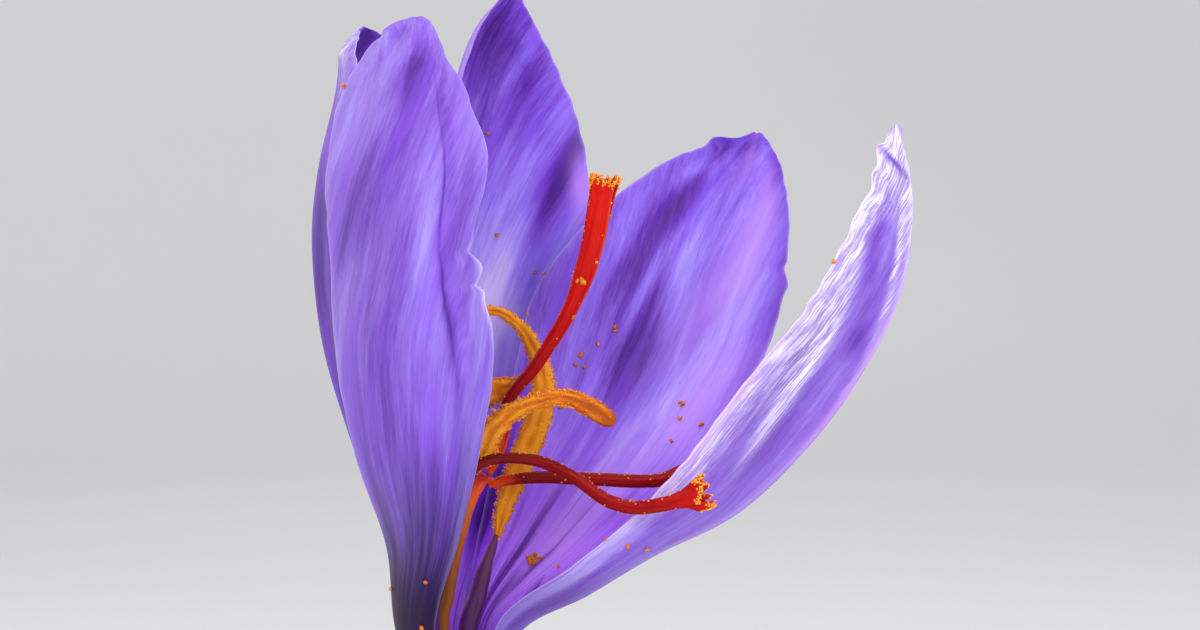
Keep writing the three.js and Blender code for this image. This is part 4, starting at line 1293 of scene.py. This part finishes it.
def make_anther(stamen, number):
    """A split pollen sac: two rolled lobes with a furrow between, torn and grainy along both edges."""
    rng = np.random.default_rng(300 + number)
    t, angle = rise(ANTHER_ROWS), turns(ANTHER_COLUMNS)
    cosine, sine, side = np.cos(angle), np.sin(angle), np.sign(np.cos(angle))
    strand = Strand(stamen["anther"], t, FRONT)
    s = t * np.linalg.norm(np.diff(strand.centre, axis=0), axis=-1).sum()
    past_end = clamp01((t - 1 + ANTHER_END) / ANTHER_END)
    width = follow(stamen["width"], t) * (np.sqrt(clamp01(1 - past_end**2)) * 0.97 + 0.03)
    ragged = follow(stamen["ragged"], t)
    teeth = np.maximum(ripples(310 + number, s * 4.2, side * 5), 0) * 0.13
    teeth = teeth + 0.06 * ripples(320 + number, s * 9, side * 5)
    lumps = 0.035 * ripples(330 + number, s * 1.3, cosine * 2, sine * 2)
    lumps = lumps + 0.012 * ripples(340 + number, s * 5.0, cosine * 5, sine * 5)
    furrow = 1 - 0.42 * hump(cosine, 0.0, 0.30)
    wide = width * cosine * (1 + ragged * (np.abs(cosine) ** 8 * teeth / np.maximum(width, 0.3)))
    deep = (0.62 * width + 0.08) * sine * furrow
    rings = strand.rings(wide + ragged * lumps * cosine, deep + ragged * lumps * sine)
    # Painted light and shade: the stamen's painted tone, painted light on the lumps and painted shade in the
    # furrow.
    crest = clamp01(follow(stamen["tone"], t) + 5 * lumps + 0.8 * (furrow - 0.85))
    body = Body()
    add_tube(body, rings, along=t, across=cosine, crest=crest)

    # Grains sit thickest on the torn edges, and thinly over the rest.
    rows = rng.integers(2, len(t) - 2, 2000)
    rows = rows[rng.random(len(rows)) < ragged[rows, 0]]
    count = len(rows)
    turn = np.where(rng.random(count) < 0.5, 0.0, np.pi) + rng.normal(0, 0.30, count)
    scattered = rng.random(count) < 0.10
    turn = np.where(scattered, rng.uniform(0, 2 * np.pi, count), turn)
    columns = np.round(turn / (2 * np.pi) * ANTHER_COLUMNS).astype(int) % ANTHER_COLUMNS
    spot = rings[rows, columns]
    outward = unit(spot - strand.centre[rows, 0])
    clump = np.where(scattered, -0.01, np.abs(rng.normal(0, 0.06, count)))
    radii = rng.uniform(0.04, 0.07, count)
    spot = spot + outward * clump[:, None] + strand.tangent[rows, 0] * rng.normal(0, 0.05, count)[:, None]
    add_grains(body, spot, radii, rng.random(count))
    return body.finish(f"anther_{number}_sac", f"anther_{number}", "anther", "anther", "pollen")


# ---------------------------------------------------------------- pistil

STYLE = [
    (-0.9, 0.0, 87.0), (-0.6, 0.0, 89.3), (-0.2, -0.1, 91.8), (0.3, -0.2, 93.8), (0.7, -0.2, 95.4),
    (1.2, -0.1, 96.6), (1.55, -0.1, 97.2),
]
STYLE_TOP = (2.1, 0.0, 97.9)
STYLE_WIDTH = [0.40, 0.46, 0.52, 0.52, 0.50, 0.48, 0.36]

STIGMAS = [
    {
        "path": [
            (2.3, 0.3, 98.1), (3.1, 0.5, 99.6), (3.5, 0.6, 101.3), (3.5, 0.5, 102.7), (4.2, 0.4, 104.0),
            (5.4, 0.5, 105.4), (6.8, 0.5, 107.5), (8.1, 0.4, 109.8), (9.0, 0.3, 112.1), (9.7, 0.2, 114.6),
            (10.2, 0.1, 117.0), (10.6, 0.0, 119.0),
        ],
        "width": [0.27, 0.31, 0.35, 0.39, 0.45, 0.53, 0.70, 0.85, 0.96],
        "redness": [0.0, 0.02, 0.08, 0.55, 0.66, 0.72, 0.80, 0.88, 0.96, 1.0],
        "seam": 150,
        "opening": 30,
        "notch": 0.0,
    },
    {
        "path": [
            (2.0, -1.0, 98.0), (1.4, -2.5, 98.5), (1.7, -3.3, 99.1), (2.6, -3.1, 99.5), (4.2, -2.7, 99.6),
            (6.0, -2.4, 99.3), (7.4, -3.0, 98.8), (8.8, -3.9, 98.1), (10.2, -4.8, 97.2), (11.2, -5.4, 96.8),
            (12.6, -6.0, 96.6), (14.3, -6.6, 96.9), (16.0, -7.0, 97.4), (17.5, -7.3, 97.9),
        ],
        "width": [0.26, 0.33, 0.37, 0.40, 0.42, 0.44, 0.46, 0.50, 1.02],
        "redness": [0.1, 0.25, 0.38, 0.48, 0.58, 0.80],
        "seam": 250,
        "opening": 4,
        "notch": 0.7,
    },
    {
        "path": [
            (2.1, 0.1, 97.8), (2.7, 0.6, 97.35), (3.3, 0.7, 97.5), (4.5, 0.6, 97.7), (6.3, 0.6, 97.8),
            (8.4, 0.7, 97.7), (10.5, 0.8, 97.6), (12.6, 0.8, 97.5), (14.4, 0.7, 97.6), (15.8, 0.6, 98.1),
            (17.2, 0.4, 98.7), (18.2, 0.2, 99.1),
        ],
        "width": [0.28, 0.34, 0.38, 0.42, 0.44, 0.46, 0.48, 0.54, 0.70],
        "redness": [0.0, 0.02, 0.08, 0.38, 0.45, 0.45, 0.48, 0.52, 0.60, 0.70],
        "seam": 250,
        "opening": 20,
        "notch": 0.3,
    },
]
STIGMA_DEPTH = [0.28, 0.33, 0.34, 0.36, 0.38, 0.40, 0.42, 0.44, 0.48]
STIGMA_SHEET = 0.13
STIGMA_WRAP = 372  # degrees that a stigma's sheet rolls round, so that it laps over itself
STIGMA_LAP = 0.20  # by which the roll widens from its inner to its outer edge


def make_style():
    t, angle = rise(90), turns(24)
    width = follow(STYLE_WIDTH, t)
    ribs = 1 + 0.05 * np.cos(3 * angle + 0.6) + 0.03 * ripples(80, t * 9, np.cos(angle) * 2)
    strand = Strand(np.vstack([[0, 0, CUP_FLOOR], STYLE, STYLE_TOP]), t, FRONT)
    body = Body()
    rings = strand.rings(width * ribs * np.cos(angle), 0.9 * width * ribs * np.sin(angle))
    add_tube(body, rings, along=t, across=np.cos(angle))
    return body.finish("style_stalk", "style", "style", "style")


def make_stigma(stigma, number):
    """One branch: a sheet rolled up lengthways, lapping over itself at the seam, its end flared and frayed."""
    rng = np.random.default_rng(400 + number)
    t, turn = rise(170), np.linspace(0, 1, 52)[None]
    strand = Strand(stigma["path"], t, FRONT)
    width, depth = follow(stigma["width"], t), follow(STIGMA_DEPTH, t)
    opening = stigma["opening"] * smooth((t - 0.75) / 0.25)
    angle = np.radians(stigma["seam"] + opening + turn * (STIGMA_WRAP - 2 * opening))
    cosine, sine, last = np.cos(angle), np.sin(angle), smooth((t - 0.90) / 0.10)
    ribs = 1 + 0.055 * np.cos(angle * 9 + 0.5) * smooth(t / 0.25)
    ribs = ribs + 0.03 * ripples(90 + number, t * 9, turn * 4)
    size = (1 + STIGMA_LAP * (turn - 0.5)) * ribs * (1 + 0.10 * smooth((t - 0.93) / 0.07))
    fray = 0.22 * ripples(410 + number, turn * 16) + 0.13 * ripples(420 + number, turn * 34)
    notch = stigma["notch"] * 0.5 * hump(cosine, -0.1, 0.35) * (sine > 0)
    longer = strand.tangent * (last * (fray - notch - 0.2))[..., None]
    split = stigma["notch"] * last * 0.05 * cosine

    def wall(thickness):
        x, y = (width * size - thickness) * cosine + split, (depth * size - thickness) * sine
        return strand.rings(x, y) + longer

    def there_and_back(values):
        return np.concatenate([values, values[:, ::-1]], axis=1)

    outside = wall(0.0)
    rings = np.concatenate([outside, wall(STIGMA_SHEET)[:, ::-1]], axis=1)
    lip = there_and_back(hump(turn, 1.0, 0.03)) * smooth((t - 0.3) / 0.3)
    body = Body()
    rows, columns = rings.shape[:2]
    faces = grid_faces(rows, columns, wrap=True)
    body.add(rings, faces, along=follow(stigma["redness"], t), across=there_and_back(turn), lip=lip)
    j = np.arange(columns // 2 - 1)
    ends = np.stack([j, j + 1, columns - 2 - j, columns - 1 - j], axis=-1)
    body.add_faces(ends[:, ::-1])
    body.add_faces(ends + (rows - 1) * columns)

    # Papillae heavy with pollen round the frayed end, and stray grains along both sides.
    pick = rng.integers(0, outside.shape[1], 420)
    back = np.abs(rng.normal(0, 1.6, len(pick))).astype(int)
    rows = len(t) - 1 - np.minimum(back, 6)
    spot = outside[rows, pick] + strand.tangent[rows, 0] * rng.uniform(-0.06, 0.07, len(pick))[:, None]
    spot += rng.normal(0, 0.035, spot.shape)
    add_grains(body, spot, rng.uniform(0.045, 0.09, len(pick)), rng.uniform(0.35, 1.0, len(pick)))
    rows = rng.integers(10, len(t) - 6, 150)
    sides = np.where(rng.random(len(rows)) < 0.5, 0.0, 180.0) + rng.normal(0, 26, len(rows))
    pick = np.abs((angle[rows] - np.radians(sides)[:, None] + np.pi) % (2 * np.pi) - np.pi).argmin(axis=1)
    spot = outside[rows, pick] + unit(outside[rows, pick] - strand.centre[rows, 0]) * 0.03
    add_grains(body, spot, rng.uniform(0.035, 0.075, len(rows)), rng.uniform(0.2, 1.0, len(rows)))
    return body.finish(f"stigma_{number}_branch", f"stigma_{number}", "stigma", "stigma", "pollen")


# ---------------------------------------------------------------- sheaths


def mouth_height(sheath, bearing):
    """The slanting mouth of a sheath rises to a point on one side."""
    share = ((1 + np.cos(np.radians(bearing - sheath["peak_bearing"]))) / 2) ** 3
    return mix(sheath["mouth"], sheath["peak"], share)


def make_sheath(name, sheath, seed):
    """A papery sleeve with fine ribs, soft dents and a torn mouth."""
    rows, columns = 90, 144
    t, bearing = rise(rows), bearings(columns)
    cosine, sine = np.cos(np.radians(bearing)), np.sin(np.radians(bearing))
    torn = 0.55 * ripples(seed, cosine * 5, sine * 5) + 0.30 * ripples(seed + 1, cosine * 16, sine * 16)
    split = -2.6 * hump((bearing - sheath["peak_bearing"] + 540) % 360, 40, 3.0)
    z = mix(NECK_FLOOR - 1.0, mouth_height(sheath, bearing) - 0.4 + torn + split, t)
    ribs = 0.045 * np.cos(np.radians(bearing * 24)) + 0.03 * ripples(seed + 2, cosine * 9, sine * 9, t * 2)
    dents = 0.10 * ripples(seed + 3, cosine * 2, sine * 2, z * 0.22) * smooth(t / 0.2)
    curl = 0.35 * smooth((t - 0.93) / 0.07) * ripples(seed + 4, cosine * 3, sine * 3)
    flare = sheath["flare"] * smooth((t - 0.6) / 0.4)
    radius = sheath["radius"] - SHEATH_PLAY + flare + ribs + dents * 0.8 + curl
    outside, inside = (around(bearing, radius - inset, z) + shoot_axis(z) for inset in (0.0, SHEATH_WALL))
    # One row of faces more than the points have joins the last row of points to the first.
    faces = grid_faces(2 * rows + 1, columns, wrap=True) % (2 * rows * columns)
    body = Body()
    along = np.concatenate([t, t[::-1]])
    body.add(np.concatenate([outside, inside[::-1]]), faces, along=along, across=bearing / 180 - 1)
    return body.finish(name + "_paper", name, "sheath", "sheath")


# ---------------------------------------------------------------- leaves

LEAF_TAPER = [1, 1, 1, 1, 1, 1, 0.96, 0.84, 0.36]
LEAF_THINNING = [1, 1, 1, 1, 1, 1, 1, 0.92, 0.6]


def make_leaf(leaf, number):
    """A narrow leaf: a keel between two furrows underneath, and a shallow channel along its upper face."""
    parting = mouth_height(INNER_SHEATH, leaf["bearing"]) + LEAF_CLEARANCE
    z = mix(NECK_FLOOR + TOUCH_GAP, leaf["tip"], np.linspace(0, 1, 11))
    leaning = clamp01((z - parting) / (leaf["tip"] - parting))
    radius = LEAF_RING_RADIUS + (leaf["reach"] - LEAF_RING_RADIUS) * leaning**2
    path = around(leaf["bearing"], radius, z) + shoot_axis(np.minimum(z, parting))
    t, angle = rise(130), turns(40)
    last = smooth((t - 0.93) / 0.07)
    wide = follow(LEAF_TAPER, t) * mix(1.0, 0.25, last) * LEAF_WIDTH / 2
    thick = follow(LEAF_THINNING, t) * mix(1.0, 0.4, last) * LEAF_THICKNESS / 2
    x = np.sign(np.cos(angle)) * np.abs(np.cos(angle)) ** 0.8
    under = 1 - 0.5 * hump(np.abs(x), 0.48, 0.2)
    upper = 1 - 0.45 * hump(x, 0.0, 0.28)
    y = np.sin(angle) * np.where(np.sin(angle) > 0, under, upper)
    sway = 0.10 * ripples(500 + number, t * 5) * smooth((t - 0.5) / 0.3)
    body = Body()
    rings = Strand(path, t, around(leaf["bearing"], 1.0, 0.0)).rings(wide * x + sway, thick * y)
    add_tube(body, rings, along=t, across=x, upper=np.sin(angle) < 0)
    return body.finish(f"leaf_{number}_blade", f"leaf_{number}", "leaf", "leaf")


# ---------------------------------------------------------------- corm

CORM_OUTLINE = [  # radius from the widest, and height, from the flat scar up to the neck
    (-8.5, 0.0), (-5.1, 0.9), (-1.2, 4.2), (0.0, 9.5), (-0.9, 13.1), (-4.2, 17.1), (-8.2, 20.1),
    (-10.9, 22.2), (-12.1, 24.8),
]
CORM_MARGIN = 0.42  # by which the coat's widest ring stays inside the solid
COAT_DEPTH = 0.22  # by which the coat lies under that outline
FIBRES, LOOSE_FIBRES, ROOT_STUBS = 104, 70, 22
FIBRE_SIDES = 6


def corm_coat(t, bearing, lines=0.0):
    """Radius and height of the corm's uneven coat, from its scar, t 0, to its neck, t 1."""
    radius, z = np.moveaxis(through(np.array(CORM_OUTLINE) + (CORM_REACH - CORM_MARGIN, 0), t), -1, 0)
    lumps = 0.25 * np.sin(np.radians(bearing) * 2.9 + z * 0.21) + 0.2 * np.sin(np.radians(bearing) * 7 + 1.7)
    fade = smooth(t / 0.12) * smooth((1 - t) / 0.15)
    return radius - COAT_DEPTH + fade * (lumps + lines), z


def add_fibre(body, path, radius, shade):
    """One thin fibre along a path, tapering at its ends."""
    t, angle = rise(len(path)), turns(FIBRE_SIDES)
    tangent = unit(np.gradient(path, axis=0))
    across = unit(np.cross(tangent, unit(path * (1, 1, 0) + (1e-6, 0, 0))))
    front = np.cross(across, tangent)
    thick = radius * np.sin(np.pi * mix(0.12, 0.93, t)) ** 0.5
    x, y = 1.5 * thick * np.cos(angle), 0.8 * thick * np.sin(angle)
    rings = sweep(path[:, None], across[:, None], front[:, None], x, y)
    add_tube(body, rings[:, ::-1], 1, along=t, shade=shade)


def make_corm():
    """The corm in its netted coat, with the loose fibre points of the coat's neck round the shoot."""
    rng = np.random.default_rng(7)
    body = Body()
    t, bearing = rise(110), bearings(300)
    cosine, sine = np.cos(np.radians(bearing)), np.sin(np.radians(bearing))
    z = corm_coat(t, bearing)[1]
    lines = 0.10 * ripples(1, cosine * 26, sine * 26, z * 0.10)
    lines = lines + 0.06 * ripples(2, cosine * 60, sine * 60, z * 0.15)
    rings = around(bearing, corm_coat(t, bearing, lines)[0], np.maximum(z, 0))
    add_tube(body, rings, along=t, across=bearing / 180 - 1)

    # Neighbouring fibres sway against each other, so that they part and meet like the threads of a net.
    for i in range(FIBRES):
        s = np.linspace(rng.uniform(0.02, 0.08), rng.uniform(0.93, 1.0), 46)
        sway = (360 / FIBRES) * 0.62 * np.sin(2 * np.pi * 3.5 * s + np.pi * (i % 2) + rng.normal(0, 0.25))
        swing = i * 360 / FIBRES + sway + 1.2 * ripples(1000 + i, s * 2) * smooth(s / 0.3)
        out, z = corm_coat(s, swing)
        path = around(swing, out + (0.08 + 0.05 * ripples(2000 + i, s * 6)), np.maximum(z, 0.2))
        add_fibre(body, path, rng.uniform(0.13, 0.24), rng.random())
    for i in range(LOOSE_FIBRES):
        middle = i * 360 / LOOSE_FIBRES + rng.normal(0, 1.5)
        s = np.linspace(0, 1, 22)
        z = mix(NECK_FLOOR - 3.0, rng.uniform(NECK_FLOOR + 2.5, NECK_TIPS), s)
        lean = rng.uniform(0.0, 0.9) * smooth((s - 0.4) / 0.6)
        out = mix(NECK_INNER_RADIUS + 2.0, NECK_INNER_RADIUS + 0.55, smooth(s / 0.35)) + lean
        path = around(middle + 5 * ripples(3000 + i, s * 1.6), out, z)
        add_fibre(body, path, rng.uniform(0.11, 0.22), rng.random())

    # Stubs of last year's roots round the scar.
    for i in range(ROOT_STUBS):
        middle = i * 360 / ROOT_STUBS + rng.normal(0, 4)
        s = np.linspace(0, 1, 16)
        out = mix(CORM_BASE_RADIUS - 1.0, CORM_BASE_RADIUS + rng.uniform(1.6, 3.6), s)
        z = 0.22 + 0.35 * np.sin(np.pi * s) * rng.uniform(0.4, 1.0)
        path = around(middle + 8 * ripples(4000 + i, s * 1.3), out, z)
        add_fibre(body, path, rng.uniform(0.12, 0.2), 0.2 * rng.random())
    return body.finish("corm_netted", "corm", "corm_coat", "corm", "fibre")


# ---------------------------------------------------------------- loose pollen on the tepals

# Where flecks of pollen lie, as pixels of the picture: column, row and how many grains hold together.
FLECKS = [
    (615, 329, 6), (582, 355, 5), (575, 365, 3), (585, 367, 2), (560, 407, 5), (681, 404, 6), (680, 419, 3),
    (702, 425, 3), (533, 560, 34), (559, 567, 3), (627, 546, 4), (646, 549, 3), (606, 540, 2), (421, 627, 4),
    (392, 588, 2), (426, 582, 2), (487, 134, 3), (345, 86, 3), (496, 235, 3), (598, 344, 2), (672, 441, 2),
    (833, 262, 3), (811, 291, 3), (793, 320, 3), (535, 272, 2), (544, 274, 2), (527, 314, 2), (572, 317, 2),
    (581, 279, 7), (584, 283, 5), (595, 262, 1), (578, 281, 2),
]


def make_flecks(pieces):
    """Clumps of spilt pollen, each resting on the petal or stigma that the camera sees at its pixel."""
    rng = np.random.default_rng(55)
    eye, forward = camera_place()
    right = np.array([1.0, 0.0, 0.0])
    up = np.cross(right, forward)
    trees = []
    for mesh in (piece.data for piece in pieces):
        trees.append(BVHTree.FromPolygons([v.co for v in mesh.vertices], [f.vertices for f in mesh.polygons]))
    body = Body()
    for column, row, grains in FLECKS:
        x = (column - PHOTO_WIDTH / 2) / FOCAL_PIXELS
        y = (PHOTO_HEIGHT / 2 - row) / FOCAL_PIXELS
        ray = Vector(forward + right * x + up * y).normalized()
        hits = [tree.ray_cast(Vector(eye * MM), ray) for tree in trees]
        hits = [hit for hit in hits if hit[0] is not None]
        if not hits:
            continue
        spot, normal, _, _ = min(hits, key=lambda hit: hit[3])
        spot, normal = np.array(spot) / MM, np.array(normal)
        normal = normal if normal @ np.array(ray) < 0 else -normal
        flat = unit(np.cross(normal, (0.3, 0.2, 1.0)))
        offsets = rng.normal(0, 0.036 * math.sqrt(grains), (grains, 2))
        radii = rng.uniform(0.09, 0.16, grains)
        lift = radii * 0.7 + np.abs(rng.normal(0, 0.03, grains))
        centres = spot + offsets[:, :1] * flat + offsets[:, 1:] * np.cross(normal, flat)
        centres = centres + lift[:, None] * normal
        add_grains(body, centres, radii, rng.uniform(0.0, 0.6, grains), slot=0)
    body.finish("pollen_flecks", None, "anther", "pollen")


# ---------------------------------------------------------------- the studio

SWEEP = {"half width": 3.0, "front": -1.6, "bend": 0.75, "radius": 0.5, "top": 2.2}  # metres
LAMPS = [  # place and aim in metres, size, watts, tint
    ("key", (-0.22, -0.46, 0.40), (0.0, 0.0, 0.105), 0.30, 1.8, (1.0, 0.99, 0.96)),
    ("rim_right", (0.42, 0.16, 0.26), (0.015, 0.0, 0.108), 0.22, 1.3, (1.0, 0.98, 1.0)),
    ("rim_left", (-0.36, 0.26, 0.26), (0.0, 0.0, 0.11), 0.24, 0.7, (1.0, 0.98, 1.0)),
    ("fill", (0.26, -0.52, 0.26), (0.0, 0.0, 0.095), 0.45, 1.8, (1.0, 0.99, 1.0)),
    ("backdrop", (0.0, 0.25, 1.5), (0.0, 1.1, 0.4), 0.60, 11.0, (1.0, 1.0, 1.0)),
]
SKY_STRENGTH = 0.36


def studio_paint():
    nodes = Finish("studio_paper")
    cloud = nodes.noise(nodes.place(), 3.0, detail=1.0)
    paper = nodes.ramp(cloud, {0.3: (212, 212, 214), 0.7: (216, 216, 218)})
    return nodes.dress(paper, 0.95, cloud, depth=0.001, strength=0.01, gloss=0.05)


def make_studio():
    """A pale floor that sweeps up behind the plant, large soft lamps, and a dim even sky."""
    width, front, bend, radius, top = SWEEP.values()
    bow = [(bend + radius * math.sin(a), radius * (1 - math.cos(a))) for a in np.linspace(0, math.pi / 2, 14)]
    outline = [(front, 0.0), *bow, (bend + radius, top)]
    points = [(x, y, z) for y, z in outline for x in (-width, width)]
    faces = [[2 * i, 2 * i + 1, 2 * i + 3, 2 * i + 2] for i in range(len(outline) - 1)]
    new_object("studio_sweep", points, faces, [studio_paint()])

    for name, place, aim, size, watts, tint in LAMPS:
        data = bpy.data.lights.new(name, "AREA")
        data.shape, data.size, data.energy, data.color = "DISK", size, watts, tint
        stand(name, data, place, Vector(aim) - Vector(place))

    world = bpy.data.worlds.new("sky")
    world.use_nodes = True
    background = world.node_tree.nodes["Background"]
    background.inputs["Color"].default_value = (1.0, 1.0, 1.0, 1.0)
    background.inputs["Strength"].default_value = SKY_STRENGTH
    bpy.context.scene.world = world
    bpy.context.scene.view_settings.view_transform = "Standard"


# ---------------------------------------------------------------- the plant

make_camera()
make_studio()
make_corm()
make_sheath("sheath_outer", OUTER_SHEATH, seed=100)
make_sheath("sheath_inner", INNER_SHEATH, seed=200)
for number, leaf in enumerate(LEAVES, start=1):
    make_leaf(leaf, number)
make_tube()
petals = [make_tepal(name, index) for index, name in enumerate(TEPALS)]
for number, stamen in enumerate(STAMENS, start=1):
    make_filament(stamen, number)
    make_anther(stamen, number)
make_style()
stigmas = [make_stigma(stigma, number) for number, stigma in enumerate(STIGMAS, start=1)]
make_flecks(petals + stigmas)
